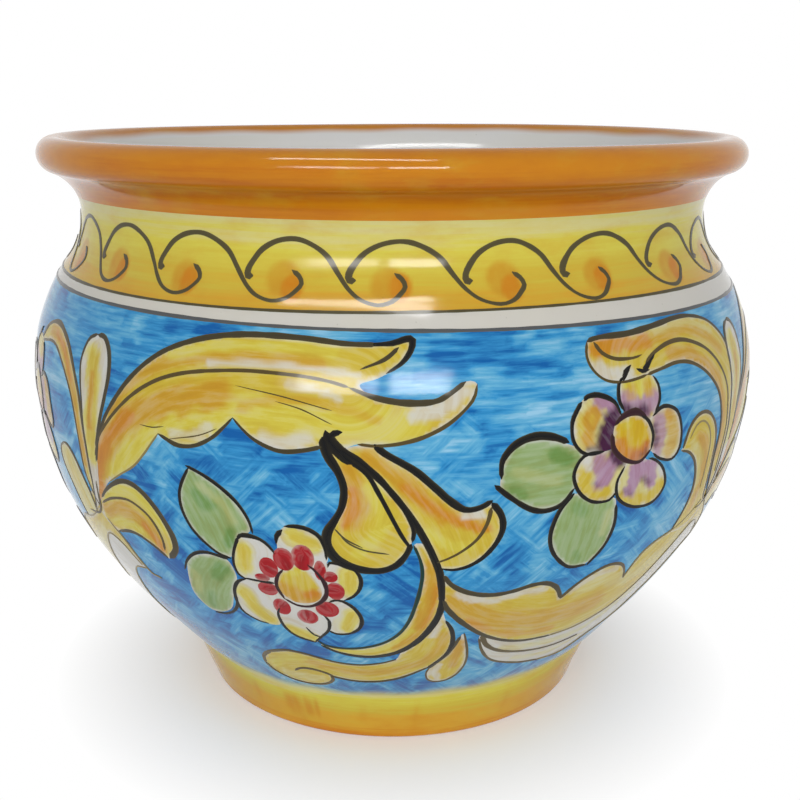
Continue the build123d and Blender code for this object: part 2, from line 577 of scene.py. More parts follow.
@dataclass(frozen=True)
class BrushedBand(GlossGlaze):
    """A band of colour brushed on as the pot turns, so its streaks run round."""

    stops: tuple[tuple[float, Paint], ...] = ()
    streak: float = 0.3
    bristle: float = 0.06
    mottle: float = 0.4
    deep: Paint = Paint.RUST
    thin: Paint = Paint.YELLOW
    streaks: ClassVar[Grain] = Grain(14.0, 5.0, 0.6, (1.0, 1.0, 20.0))
    bristles: ClassVar[Grain] = Grain(30.0, stretch=(1.0, 1.0, 40.0))
    pools: ClassVar[Grain] = Grain(48.0, 5.0, 0.62, (1.0, 1.0, 2.5))

    def material(self) -> bpy.types.Material:
        """Colours the band by its rise, with streaks, pooled places and soft spots.

        Returns:
            The finished material.
        """
        nodes = Nodes(self.name)
        place = nodes.place()
        rise = nodes.carried("Rise")
        for grain, depth in ((self.streaks, self.streak), (self.bristles, self.bristle)):
            rise = nodes.math("ADD", rise, nodes.fit(nodes.noise(place, grain), 0.3, 0.7, -depth, depth))
        colour = nodes.ramp(rise, self.stops)
        pools = nodes.noise(place, self.pools)
        colour = nodes.mix(nodes.fit(pools, 0.5, 0.72, 0.0, self.mottle), colour, self.deep.rgba())
        colour = nodes.mix(nodes.fit(pools, 0.46, 0.3, 0.0, self.mottle), colour, self.thin.rgba())
        uneven = nodes.fit(nodes.noise(place, Grain(200.0)), 0.25, 0.75, 0.6, 1.1)
        for spot, paint in (("Dot", Paint.OCHRE), ("Core", Paint.ORANGE)):
            share = nodes.math("MULTIPLY", nodes.carried(spot), uneven)
            colour = nodes.mix(share, colour, paint.rgba())
        return self.close(nodes, nodes.mix(nodes.carried("Fade"), colour, Paint.MILK.rgba()))


@dataclass(frozen=True)
class BrushedGround(GlossGlaze):
    """The blue ground: overlapping strokes, thin and pale where the brush ran dry."""

    bristle: float = 0.4
    bristles: ClassVar[Grain] = Grain(1.6, 4.0, 0.6, (0.04, 0.4, 0.12))
    stops: ClassVar[tuple[tuple[float, Paint], ...]] = (
        (0.0, Paint.PALE_BLUE), (0.3, Paint.SKY), (0.6, Paint.AZURE), (1.0, Paint.COBALT))

    def material(self) -> bpy.types.Material:
        """Colours the ground by its strokes and its fine bristle marks.

        Returns:
            The finished material.
        """
        nodes = Nodes(self.name)
        flat, wash = nodes.carried("Bristle", "Vector"), nodes.carried("Wash")
        shares = nodes.add("ShaderNodeSeparateXYZ", {0: nodes.carried("Turns", "Vector")}).outputs
        for turn, share in zip(STROKE_TURNS, shares):
            settings = {"Vector": flat, "Angle": -turn}
            turned = nodes.add("ShaderNodeVectorRotate", settings, rotation_type="Z_AXIS").outputs[0]
            marks = nodes.fit(nodes.noise(turned, self.bristles), 0.25, 0.75, -self.bristle, self.bristle)
            wash = nodes.math("ADD", wash, nodes.math("MULTIPLY", marks, share))
        colour = nodes.ramp(wash, self.stops)
        # Fade to cream above the foot: partly a painted highlight along the crease.
        return self.close(nodes, nodes.mix(nodes.carried("Fade"), colour, Paint.CREAM.rgba()))


@dataclass(frozen=True)
class WhiteGlaze(GlossGlaze):
    """White tin glaze, milky, with faint warm clouds and fine specks."""

    base: Paint = Paint.WHITE
    clouded: float = 0.12
    specked: float = 0.25

    def material(self) -> bpy.types.Material:
        """Clouds and specks the white a little.

        Returns:
            The finished material.
        """
        nodes = Nodes(self.name)
        place = nodes.place()
        cloud = nodes.fit(nodes.noise(place, Grain(24.0, 5.0)), 0.35, 0.75, 0.0, self.clouded)
        colour = nodes.mix(cloud, self.base.rgba(), Paint.CREAM.rgba())
        speck = nodes.fit(nodes.noise(place, Grain(900.0, 1.0)), 0.76, 0.82, 0.0, self.specked)
        return self.close(nodes, nodes.mix(speck, colour, Paint.OLIVE.rgba()))


@dataclass(frozen=True)
class PaintedWash(GlossGlaze):
    """Thin colour over white: each place has its own paint, streaked along the brush."""

    streak: float = 0.2
    thin: float = 0.25
    bristles: ClassVar[Grain] = Grain(2.2, 3.0, 0.55, (0.035, 0.3, 1.0))
    clouds: ClassVar[Grain] = Grain(0.15, 4.0, 0.6, (0.45, 1.0, 1.0))

    def material(self) -> bpy.types.Material:
        """Reads the paint from the mesh and streaks it.

        Returns:
            The finished material.
        """
        nodes = Nodes(self.name)
        flat = nodes.carried("Bristle", "Vector")
        marks = nodes.math("ADD", nodes.noise(flat, self.bristles), nodes.noise(flat, self.clouds))
        pale = nodes.fit(marks, 0.95, 1.35, 0.0, self.thin)
        colour = nodes.mix(pale, nodes.carried("Paint", "Color"), Paint.WHITE.rgba())
        dark = nodes.fit(marks, 1.05, 0.7, 1.0, 1.0 - self.streak)
        channels = {0: nodes.math("SQRT", dark), 1: dark, 2: nodes.math("MULTIPLY", dark, dark)}
        shade = nodes.add("ShaderNodeCombineColor", channels).outputs[0]
        return self.close(nodes, nodes.mix(1.0, colour, shade, "MULTIPLY"))


@dataclass(frozen=True)
class BrushInk(GlossGlaze):
    """Dark outline paint: full in the middle of a stroke, browner where it runs thin."""

    thin: Paint = Paint.OLIVE
    dried: float = 0.5
    bristles: ClassVar[Grain] = Grain(1.8, 4.0, 0.65, (0.08, 1.3, 1.0))

    def material(self) -> bpy.types.Material:
        """Reads the ink from the mesh and thins it along the bristles.

        Returns:
            The finished material.
        """
        nodes = Nodes(self.name)
        marks = nodes.noise(nodes.carried("Bristle", "Vector"), self.bristles)
        wet = nodes.math("MULTIPLY", nodes.carried("Load"), 0.22)
        dry = nodes.fit(nodes.math("SUBTRACT", marks, wet), 0.4, 0.75, 0.0, self.dried)
        return self.close(nodes, nodes.mix(dry, nodes.carried("Paint", "Color"), self.thin.rgba()))


@dataclass(frozen=True)
class BareClay:
    """Bare fired earthenware on the standing ring and under the base."""

    name: str = "bare_clay_turned"
    relief: float = 0.12

    def material(self) -> bpy.types.Material:
        """Mixes speckled terracotta with dark and pale grains.

        Returns:
            The finished material.
        """
        nodes = Nodes(self.name)
        place = nodes.place()
        grain = nodes.noise(place, Grain(520.0, 4.0, 0.7))
        cloud = nodes.fit(nodes.noise(place, Grain(30.0, 4.0)), 0.3, 0.7)
        colour = nodes.mix(cloud, Paint.CLAY.rgba(), Paint.RUST.rgba())
        colour = nodes.mix(nodes.fit(grain, 0.58, 0.8, 0.0, 0.6), colour, Paint.UMBER.rgba())
        pale = nodes.fit(nodes.noise(place, Grain(190.0)), 0.55, 0.8, 0.0, 0.5)
        colour = nodes.mix(pale, colour, Paint.CREAM.rgba())
        return nodes.finish(colour, nodes.fit(grain, 0.2, 0.8, 0.7, 0.95), grain, self.relief)


def make_piece(name: str, places: np.ndarray, faces: list, normals: np.ndarray, values: Values,
               layout: np.ndarray, material: bpy.types.Material) -> bpy.types.Object:
    """Makes a mesh object with smooth directions, carried values and a flat layout.

    Args:
        name: Name of the piece.
        places: Its points, in metres.
        faces: Its faces, as numbers of points.
        normals: Outward direction at each point.
        values: Numbers, vectors or colours for each point, by name.
        layout: Flat place of each face corner in turn, 0 to 1, for baking.
        material: Its finish.

    Returns:
        The object, riding on the pot.
    """
    mesh = bpy.data.meshes.new(name)
    mesh.from_pydata(places.tolist(), [], faces)
    mesh.polygons.foreach_set("use_smooth", np.ones(len(mesh.polygons), bool))
    kinds = {1: ("FLOAT", "value"), 3: ("FLOAT_VECTOR", "vector"), 4: ("FLOAT_COLOR", "color")}
    for value_name, rows in values.items():
        kind, key = kinds[1 if rows.ndim == 1 else rows.shape[1]]
        attribute = mesh.attributes.new(value_name, kind, "POINT")
        attribute.data.foreach_set(key, rows.astype(np.float32).ravel())
    mesh.uv_layers.new(name="OFBake").uv.foreach_set("vector", layout.astype(np.float32).ravel())
    mesh.normals_split_custom_set_from_vertices(normals.tolist())
    mesh.materials.append(material)
    piece = bpy.data.objects.new(name, mesh)
    bpy.context.scene.collection.objects.link(piece)
    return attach(piece, "root")


@dataclass
class GlazeCoat:
    """One coloured coat of glaze, a thin closed ring round the pot.

    Its edges are lengths along the section, in mm, level or worked out for each angle.
    """

    form: PotForm
    name: str
    node: str
    slot: str
    low: Edge
    high: Edge
    columns: int
    rows: int
    back_rows: int = 14
    values: Callable[[np.ndarray, np.ndarray], Values] | None = None
    depth: ClassVar[float] = 0.9           # how deep in the glaze the back lies
    front_layout: ClassVar[float] = 0.9    # part of the baked layout for the front
    back_layout: ClassVar[Pair] = (0.92, 0.08)

    def build(self, material: bpy.types.Material) -> bpy.types.Object:
        """Makes the coat's mesh, front and back, and puts it in place of its solid.

        Args:
            material: Finish of the coat.

        Returns:
            The piece.
        """
        turn = np.arange(self.columns) / self.columns
        angle = turn * FULL_TURN - math.pi
        low, high = (edge(angle) if callable(edge) else np.full(self.columns, edge)
                     for edge in (self.low, self.high))
        share = np.concatenate([np.linspace(0, 1, self.rows), np.linspace(1, 0, self.back_rows)])
        back = np.arange(len(share)) >= self.rows
        run = low + share[:, None] * (high - low)
        around = np.broadcast_to(angle, run.shape)
        lift = np.where(back, -self.depth * self.form.glaze, 0.0)[:, None]
        places = self.form.place(around, run, lift).reshape(-1, 3)
        facing = self.form.normal(around, run) * np.where(back, -1.0, 1.0)[:, None, None]
        i, j = np.arange(len(share))[:, None], np.arange(self.columns)[None]
        below, above = i * self.columns, (i + 1) % len(share) * self.columns
        beside = (j + 1) % self.columns
        faces = np.stack([below + j, below + beside, above + beside, above + j], -1).reshape(-1, 4)
        strip_low, strip = self.back_layout
        band = np.where(back, strip_low + strip * share, self.front_layout * share)
        layout = np.stack(np.broadcast_arrays(turn, band[:, None]), -1).reshape(-1, 2)[faces]
        layout[self.columns - 1::self.columns, 1:3, 0] = 1.0
        values = self.values(around, run) if self.values else {}
        values = {name: rows.reshape(len(places), -1).squeeze() for name, rows in values.items()}
        piece = make_piece(self.name, places, faces.tolist(), facing.reshape(-1, 3), values, layout, material)
        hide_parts(self.node)
        return piece


@dataclass(frozen=True)
class Dab:
    """One pull of the brush inside an outline."""

    paint: Paint
    width: float
    line: Points
    strength: float = 0.85
    soft: float = 0.36


@dataclass(frozen=True)
class Fill:
    """A painted shape: an outline, its wash, and the dabs laid over it."""

    outline: Points
    wash: Paint
    flow: Points
    dabs: tuple[Dab, ...] = ()
    reserve: float = 0.7
    layer: int = 0


@dataclass(frozen=True)
class Line:
    """One stroke of dark paint, with its widths from start to end in mm."""

    points: Points
    widths: tuple[float, ...]
    paint: Paint = Paint.INK
    load: float = 1.0


@dataclass(frozen=True)
class Motif:
    """Part of the painting that belongs together."""

    fills: tuple[Fill, ...] = ()
    lines: tuple[Line, ...] = ()


@dataclass(frozen=True)
class Repeat:
    """Where one repeat of the painting starts round the pot, and how wide it is drawn."""

    start: float
    stretch: float
    origin: float = -44.7

    def move(self, points: Points) -> Points:
        """Moves points of the front repeat to this one."""
        return [(self.start + (angle - self.origin) * self.stretch, height) for angle, height in points]


def oval(angle: float, height: float, wide: float, tall: float) -> Points:
    """Places round an oval dab of the brush."""
    turns = [math.radians(45 * i + 20) for i in range(8)]
    return [(angle + wide / 2 * math.cos(turn), height + tall / 2 * math.sin(turn)) for turn in turns]


@dataclass
class PaintLayer:
    """Painted shapes or strokes that lie on the glaze and make one piece."""

    form: PotForm
    name: str
    slot: str
    bands: int = 1                  # strips of the baked layout, one for each layer of fills
    kept: dict[str, list[np.ndarray]] = field(default_factory=lambda: defaultdict(list))
    faces: list[list[int]] = field(default_factory=list)
    count: int = 0
    rng: np.random.Generator = field(default_factory=lambda: np.random.default_rng(11))
    grid: ClassVar[float] = 1.15            # triangles of a fill
    grid_margin: ClassVar[float] = 0.55     # how far they keep off the outline, in steps of the grid
    outline_step: ClassVar[float] = 0.9
    flow_step: ClassVar[float] = 1.5
    dab_step: ClassVar[float] = 1.0
    line_step: ClassVar[float] = 1.15
    thickness: ClassVar[float] = 0.05       # of one layer of wash
    edge_fall: ClassVar[float] = 0.04       # how much thinner it is at its edge
    sunk: ClassVar[float] = 0.25            # how deep the underside of the paint lies in the glaze
    across: ClassVar[np.ndarray] = np.array([-1.0, -0.62, 0.0, 0.62, 1.0])
    crown: ClassVar[tuple[float, ...]] = (-0.05, 0.24, 0.3, 0.24, -0.05)
    front_layout: ClassVar[float] = 0.96    # part of the baked layout for the front
    back_layout: ClassVar[Pair] = (0.965, 0.03)
    bare_shake: ClassVar[float] = 0.9       # how uneven the bare edge of a fill is
    bare_soft: ClassVar[Pair] = (0.5, 0.9)
    dab_shake: ClassVar[float] = 0.14
    dab_reach: ClassVar[float] = 0.44       # from a dab's line to its edge, as a share of its width
    fall_width: ClassVar[float] = 0.6
    line_shake: ClassVar[float] = 0.10
    line_swell: ClassVar[float] = 7.0       # length of the swells in a line's width
    faint_edge: ClassVar[float] = 0.3       # how much a line pales at its edges
    dry_end: ClassVar[float] = 0.35         # how much paint the brush loses along a line
    dry_edge: ClassVar[float] = 0.25

    def trace(self, points: Points, repeat: Repeat, step: float, closed: bool = False) -> np.ndarray:
        """Draws a smooth line through places, flat and in its repeat."""
        return spline(self.form.sheet(repeat.move(points)), closed, step)

    def store(self, flat: np.ndarray, lift: np.ndarray, sign: float, paint: np.ndarray, bristle: np.ndarray,
              load: np.ndarray, band: int) -> int:
        """Keeps points of a shape.

        Args:
            flat: Flat places, in mm.
            lift: Heights above the glaze, in mm.
            sign: 1 for points that face out, -1 for points that face the glaze.
            paint: Linear colour of each point.
            bristle: Place of each point along and across the brush, in mm.
            load: How full of paint the brush is, 0 to 1.
            band: Strip of the layout that the points go to.

        Returns:
            Number of the first point.
        """
        first, number = self.count, len(flat)
        turn = (flat[:, 0] / (FULL_TURN * SHEET_RADIUS)) % 1.0
        if np.ptp(turn) > 0.5:
            turn = np.where(turn < 0.5, turn + 1.0, turn) - 0.5
        rise = np.clip(flat[:, 1] / LAYOUT_RUN, 0, 1)
        strip_low, strip = self.back_layout
        share = self.front_layout * (band + rise) / self.bands if sign > 0 else strip_low + strip * rise
        columns = {"flat": flat, "lift": lift, "sign": np.full(number, sign), "Load": load,
                   "Paint": np.hstack([paint, np.ones((number, 1))]),
                   "Bristle": np.hstack([bristle, np.full((number, 1), self.rng.uniform(0, 50))]),
                   "layout": np.stack([turn, share], 1)}
        for name, rows in columns.items():
            self.kept[name].append(rows)
        self.count += number
        return first

    def triangles(self, outline: np.ndarray) -> tuple[np.ndarray, list[list[int]]]:
        """Covers the inside of an outline with small triangles.

        Args:
            outline: Points of the outline, flat and in mm.

        Returns:
            Flat points, and triangles as numbers of points.
        """
        xs, ys = (np.arange(low + self.grid / 2, high, self.grid)
                  for low, high in zip(outline.min(0), outline.max(0)))
        grid = np.stack(np.meshgrid(xs, ys), -1)
        grid[1::2, :, 0] += self.grid / 2
        grid = grid.reshape(-1, 2)
        grid = grid[inside(grid, outline)]
        if len(grid):
            off = nearest(grid, np.vstack([outline, outline[:1]]))[0]
            grid = grid[off > self.grid_margin * self.grid]
        given = [Vector(place) for place in np.vstack([outline, grid])]
        found, _, faces, *_ = delaunay_2d_cdt(given, [], [list(range(len(outline)))], 1, 1e-4)
        return np.array([tuple(place) for place in found]), [list(face) for face in faces]

    def fill(self, shape: Fill, repeat: Repeat) -> None:
        """Paints a shape: triangles inside its outline, with wash, bare edge and dabs.

        Args:
            shape: What to paint.
            repeat: Where it goes round the pot.
        """
        outline = self.trace(shape.outline, repeat, self.outline_step, True)
        flat, faces = self.triangles(outline)
        edge = nearest(flat, np.vstack([outline, outline[:1]]))[0]
        away, along, side = nearest(flat, self.trace(shape.flow, repeat, self.flow_step))
        bristle = np.stack([along, away * side], 1)
        seed = int(abs(outline[0, 0]) * 7 + outline[0, 1] * 13)
        bare = shape.reserve * (1 + self.bare_shake * ripple(bristle * (0.25, 1.0), 5.0, seed))
        paint = np.tile(Paint.WHITE.linear(), (len(flat), 1))
        paint = laid(paint, shape.wash, smooth(edge, bare - self.bare_soft[0], bare + self.bare_soft[1]))
        for number, dab in enumerate(shape.dabs):
            shake = self.dab_shake * dab.width * ripple(bristle * (0.3, 1.2), 3.5, seed + number)
            off = nearest(flat, self.trace(dab.line, repeat, self.dab_step))[0] + shake
            near, far = ((self.dab_reach + side * dab.soft / 2) * dab.width for side in (-1, 1))
            paint = laid(paint, dab.paint, dab.strength * (1 - smooth(off, near, far)))
        height = self.thickness + self.thickness * shape.layer
        lift = height - self.edge_fall * (1 - smooth(edge, 0.0, self.fall_width))
        load = np.ones(len(flat))
        top = self.store(flat, lift, 1.0, paint, bristle, load, shape.layer)
        under = self.store(flat, np.full(len(flat), -self.sunk), -1.0, paint, bristle, load, shape.layer)
        self.close_sheet(faces, top, under)

    def close_sheet(self, faces: list[list[int]], top: int, under: int) -> None:
        """Adds a sheet's upper faces, lower faces and the rim between them.

        Args:
            faces: Triangles of the sheet.
            top: Number of its first upper point.
            under: Number of its first lower point.
        """
        border = {}
        for face in faces:
            self.faces.append([top + k for k in face])
            self.faces.append([under + k for k in reversed(face)])
            for a, b in zip(face, face[1:] + face[:1]):
                if (b, a) in border:
                    del border[(b, a)]
                else:
                    border[(a, b)] = None
        for a, b in border:
            self.faces.append([top + b, top + a, under + a, under + b])

    def line(self, stroke: Line, repeat: Repeat) -> None:
        """Draws a stroke: a low dome of paint along a line, round at both ends.

        Args:
            stroke: What to draw.
            repeat: Where it goes round the pot.
        """
        line = self.trace(stroke.points, repeat, self.line_step)
        rows, wide = len(line), len(self.across)
        true = self.form.radius(line[:, 1]) / SHEET_RADIUS
        scale = np.stack([true, np.ones(rows)], 1)
        way = np.gradient(line, axis=0) * scale
        way /= np.linalg.norm(way, axis=1, keepdims=True)
        aside = np.stack([-way[:, 1] / true, way[:, 0]], 1)
        steps = np.linalg.norm(np.diff(line, axis=0) * scale[1:], axis=1)
        run = np.concatenate([[0], np.cumsum(steps)])
        half = np.interp(run / run[-1], np.linspace(0, 1, len(stroke.widths)), stroke.widths) / 2
        swells = ripple(np.stack([run, 0 * run], 1), self.line_swell, int(self.rng.integers(1e6)))
        half *= 1 + self.line_shake * swells
        end = np.minimum(run, run[-1] - run) / np.maximum(half, 0.2)
        half *= np.sqrt(np.clip(1 - (1 - np.clip(end, 0, 1)) ** 2, 0.03, 1))
        reach = half[:, None] * self.across
        flat = line[:, None] + aside[:, None] * reach[..., None]
        bristle = np.stack(np.broadcast_arrays(run[:, None], reach), -1)
        paint = np.tile(stroke.paint.linear(), (rows * wide, 1))
        paint = laid(paint, Paint.FAINT, self.faint_edge * np.tile(self.across ** 4, rows))
        load = stroke.load * (1 - self.dry_end * run / run[-1])[:, None]
        load = load * (1 - self.dry_edge * np.abs(self.across))
        top = self.store(flat.reshape(-1, 2), np.tile(self.crown, rows), 1.0, paint, bristle.reshape(-1, 2),
                         load.ravel(), 0)
        edges = slice(None, None, wide - 1)
        under = self.store(flat[:, edges].reshape(-1, 2), np.full(rows * 2, -self.sunk), -1.0,
                           paint[:rows * 2], bristle[:, edges].reshape(-1, 2), np.ones(rows * 2), 0)
        for i in range(rows - 1):
            a, b = top + wide * i, top + wide * (i + 1)
            c, d = under + 2 * i, under + 2 * (i + 1)
            self.faces += [[a + k + 1, a + k, b + k, b + k + 1] for k in range(wide - 1)]
            self.faces += [[c, d, b, a], [d, c, c + 1, d + 1], [d + 1, c + 1, a + wide - 1, b + wide - 1]]
        first, last = (list(range(start, start + wide)) for start in (top, top + wide * (rows - 1)))
        self.faces.append(first + [under + 1, under])
        self.faces.append(last[::-1] + [under + 2 * rows - 2, under + 2 * rows - 1])

    def build(self, material: bpy.types.Material) -> bpy.types.Object:
        """Makes the piece.

        Args:
            material: Its finish.

        Returns:
            The piece.
        """
        kept = {name: np.concatenate(rows) for name, rows in self.kept.items()}
        angle, run = kept["flat"][:, 0] / SHEET_RADIUS, kept["flat"][:, 1]
        places = self.form.place(angle, run, kept["lift"])
        normals = self.form.normal(angle, run) * kept["sign"][:, None]
        values = {name: kept[name] for name in ("Paint", "Bristle", "Load")}
        layout = kept["layout"][np.concatenate(self.faces)]
        piece = make_piece(self.name, places, self.faces, normals, values, layout, material)
        return piece


@dataclass(frozen=True)
class BellyPainting:
    """Leaves and flowers of one repeat: angle in degrees, height in mm, on the front of the pot."""

    repeats: tuple[Repeat, ...] = (
        Repeat(-44.7, 1.0), Repeat(58.5, 0.8295), Repeat(144.1, 0.8295), Repeat(229.7, 0.8295))
    layers: int = 4
    curl_under: ClassVar[Points] = [
        (55, 89), (53.8, 95), (53.2, 103), (53.2, 112), (53, 118), (51.8, 124.5), (49.6, 130), (47, 134.3),
        (44, 137.2), (41, 138), (38, 137.3), (35, 136.4)]
    curl_spine: ClassVar[Points] = [
        (35, 139.7), (37, 142), (40, 143.7), (43, 143.8), (46, 142.2), (49, 139.3), (51.5, 135),
        (53.5, 129.5), (54.9, 123), (55.4, 115), (55.3, 105), (55.2, 97)]
    curl_tip: ClassVar[Points] = [
        (35, 136.4), (33, 135.8), (30.5, 135.6), (28, 136.8), (26.3, 139.8), (25.6, 143.5), (26, 147.3)]

    def bud_leaf(self) -> Motif:
        """The upright bud between two repeats.

        Returns:
            Its fills and lines.
        """
        left = [(-49.1, 88), (-48, 94), (-47.3, 100.3), (-47.1, 111.4), (-47.1, 122.5), (-47.6, 130.5),
                (-47.9, 135.8), (-47.6, 139.9), (-46.8, 143.2), (-45.1, 144.7)]
        right = [(-45.1, 144.7), (-43.4, 144.3), (-42, 141.7), (-41.2, 138), (-41, 133.4), (-41.6, 127.8),
                 (-42.4, 122.5), (-43.3, 116.9), (-44.4, 111)]
        dabs = (Dab(Paint.LEMON, 8.0, [(-45.3, 139), (-44.4, 134), (-44.3, 128), (-45, 120), (-46, 108)],
                    0.9),
                Dab(Paint.YELLOW, 5.0, [(-44.9, 138), (-44.2, 132), (-44.6, 124), (-45.6, 112)], 0.8),
                Dab(Paint.OCHRE, 2.6, [(-44.6, 134), (-44.8, 126), (-45.3, 117)], 0.9))
        joint = [(-51, 84.2), (-50.6, 89), (-49.4, 93), (-47.4, 96), (-45.6, 93), (-46.2, 88), (-48.4, 84)]
        return Motif((Fill(joint, Paint.YELLOW, [(-50.4, 86), (-47, 93)], (
                           Dab(Paint.OCHRE, 3.0, [(-49.6, 87), (-47.2, 93)], 0.6),), 0.2),
                      Fill(left + right[1:] + [(-44.9, 104), (-46, 96.6), (-47.9, 90)], Paint.WHITE,
                           [(-48, 92), (-46.4, 108), (-44.9, 122), (-44.7, 141)], dabs, 0.0, 3)), (
            Line(left, (0.9, 1.1, 1.2, 1.2, 1.5, 1.7), Paint.SEPIA),
            Line(right, (1.8, 2.0, 1.7, 1.5, 1.4), Paint.SEPIA),
            Line([(-52.1, 85.4), (-50.2, 85.6), (-48.7, 86.4), (-47.5, 89.3), (-47, 93), (-46.2, 99)],
                 (0.8, 1.3, 1.3, 1.0), Paint.UMBER),
        ))

    def great_leaf(self) -> Motif:
        """The large curling leaf along the shoulder.

        Returns:
            Its fills and lines.
        """
        top = [(-43.9, 112.5), (-42.7, 117.2), (-41.3, 122.4), (-39.2, 128.4), (-36.6, 134.9), (-33.5, 140.9),
               (-30, 145.2), (-25, 148.6), (-19, 150.3), (-12, 150.2), (-6, 149.1), (-2, 148.9)]
        spine = [(-45, 108), (-43.4, 114.5), (-41.2, 120), (-38.9, 125), (-36.3, 129.8), (-33.7, 133.6),
                 (-30.8, 136.7), (-27.2, 139), (-23, 140.4), (-18, 141.2), (-12, 140.8), (-8, 139.7),
                 (-5.3, 138.2)]
        lobe_top = [(-5.3, 138.2), (-2, 135.6), (1.5, 134.3), (5, 134.5), (7, 136.5), (9, 139.5)]
        lobe_end = [(10.4, 138.7), (9.7, 134.5), (7.2, 129.3), (4.2, 125.6), (1, 123.5), (-2, 122.8),
                    (-4.2, 123.2)]
        first = [(-8.5, 122.2), (-11, 120.8), (-14, 120.3), (-17, 122.7), (-19, 126.1), (-20, 128.4)]
        second = [(-20, 128.4), (-21.2, 125.6), (-23, 122), (-25.5, 119.1), (-28, 118.3), (-29.9, 119.5),
                  (-31.3, 120.7)]
        third = [(-31.3, 120.7), (-32.6, 117.3), (-34.3, 113.1), (-36.6, 108.5), (-39.8, 104.3),
                 (-42.6, 100.6)]
        dry_strokes = [[(-19.8, 137.1), (-13.7, 135.2), (-7.3, 132.1)],
                       [(-14.4, 133.8), (-11, 132), (-7.3, 128.4)],
                       [(-34.4, 122.3), (-32.3, 122.2), (-30.3, 123.1)],
                       [(-29.6, 119.7), (-25, 122.1), (-22.2, 124.8)]]
        hook = [(-3, 148.9), (0, 149.3), (1.7, 150.3), (2.5, 150), (2.2, 147.3), (1.1, 144.4), (-0.8, 141.8)]
        outline = ([(-48, 90), (-46.1, 96.4), (-45, 104)] + top + hook[1:5]
                   + [(0.4, 143.2), (-1.8, 140.6), (-4, 138.8)] + lobe_top[1:] + lobe_end
                   + [(-6, 121.8), (-8, 122.6)] + first + second[1:] + third[1:]
                   + [(-43.9, 98.2), (-45.5, 94)])
        dabs = (
            Dab(Paint.LEMON, 11.0, [(-40, 105), (-34, 117), (-27, 124), (-18, 130), (-8, 129), (2, 127.6)],
                0.75),
            Dab(Paint.OCHRE, 9.0, [(-46, 97), (-43.8, 107), (-40.5, 116), (-36, 124), (-30, 130),
                                   (-22, 134.5)]),
            Dab(Paint.ORANGE, 5.0, [(-46, 94), (-44.8, 103), (-42.8, 111), (-40, 117.6), (-36.4, 124)], 0.8),
            Dab(Paint.OCHRE, 4.0, [(-41, 124), (-37, 132.6), (-32, 139.6), (-26, 143), (-18, 144.6),
                                   (-9, 144)], 0.7),
            Dab(Paint.LEMON, 4.0, [(-30, 143), (-24, 146.6), (-15, 148), (-5, 146.8)], 0.7),
            Dab(Paint.YELLOW, 4.0, [(-6, 146.4), (-2, 147), (1.2, 148.2)], 0.9),
            Dab(Paint.OCHRE, 3.0, [(-19, 131.5), (-14, 134), (-8, 133.5), (-2, 130)], 0.55),
            Dab(Paint.WHITE, 3.4, [(-29, 121.4), (-26, 121.6), (-23.4, 124.6)], 0.6),
            Dab(Paint.WHITE, 4.4, [(-16, 123.4), (-13, 122.8), (-10.4, 124)], 0.75),
            Dab(Paint.WHITE, 2.0, [(-24, 142.2), (-18, 143), (-10, 142.6), (-4, 141.2)], 0.7),
            Dab(Paint.WHITE, 2.4, [(-13, 138.4), (-9.5, 137.6), (-6.4, 135)], 0.6),
            Dab(Paint.WHITE, 4.4, [(2.6, 131), (6, 132.5), (8.6, 137)]),
        )
        return Motif((Fill(outline, Paint.YELLOW, spine, dabs, 0.4, 1),), (
            Line([(-45, 106)] + top, (1.2, 1.7, 1.8, 1.9, 2.0, 2.1, 1.9, 1.6), Paint.SEPIA),
            Line(hook, (1.0, 1.9, 2.4, 1.5, 0.7)),
            Line([(0.8, 148.3), (-1, 145.3), (-4, 142.8)], (1.6, 1.3, 0.6), Paint.SEPIA),
            Line(spine, (1.0, 1.4, 1.5, 1.5, 1.4, 1.3, 1.1), Paint.UMBER, 0.9),
            Line(lobe_top, (0.9, 1.9, 2.3, 1.8, 1.3), Paint.SEPIA),
            Line(lobe_end, (0.8, 1.2, 1.4, 1.3, 1.0), Paint.UMBER),
            Line(first, (1.6, 1.6, 1.3, 0.7), Paint.SEPIA),
            Line(second, (0.6, 1.2, 1.3, 1.3, 1.8, 1.0), Paint.SEPIA),
            Line(third, (0.6, 0.8, 0.7, 0.5), Paint.FAINT),
            *(Line(dry, (0.2, 0.5, 0.3), Paint.UMBER) for dry in dry_strokes),
        ))

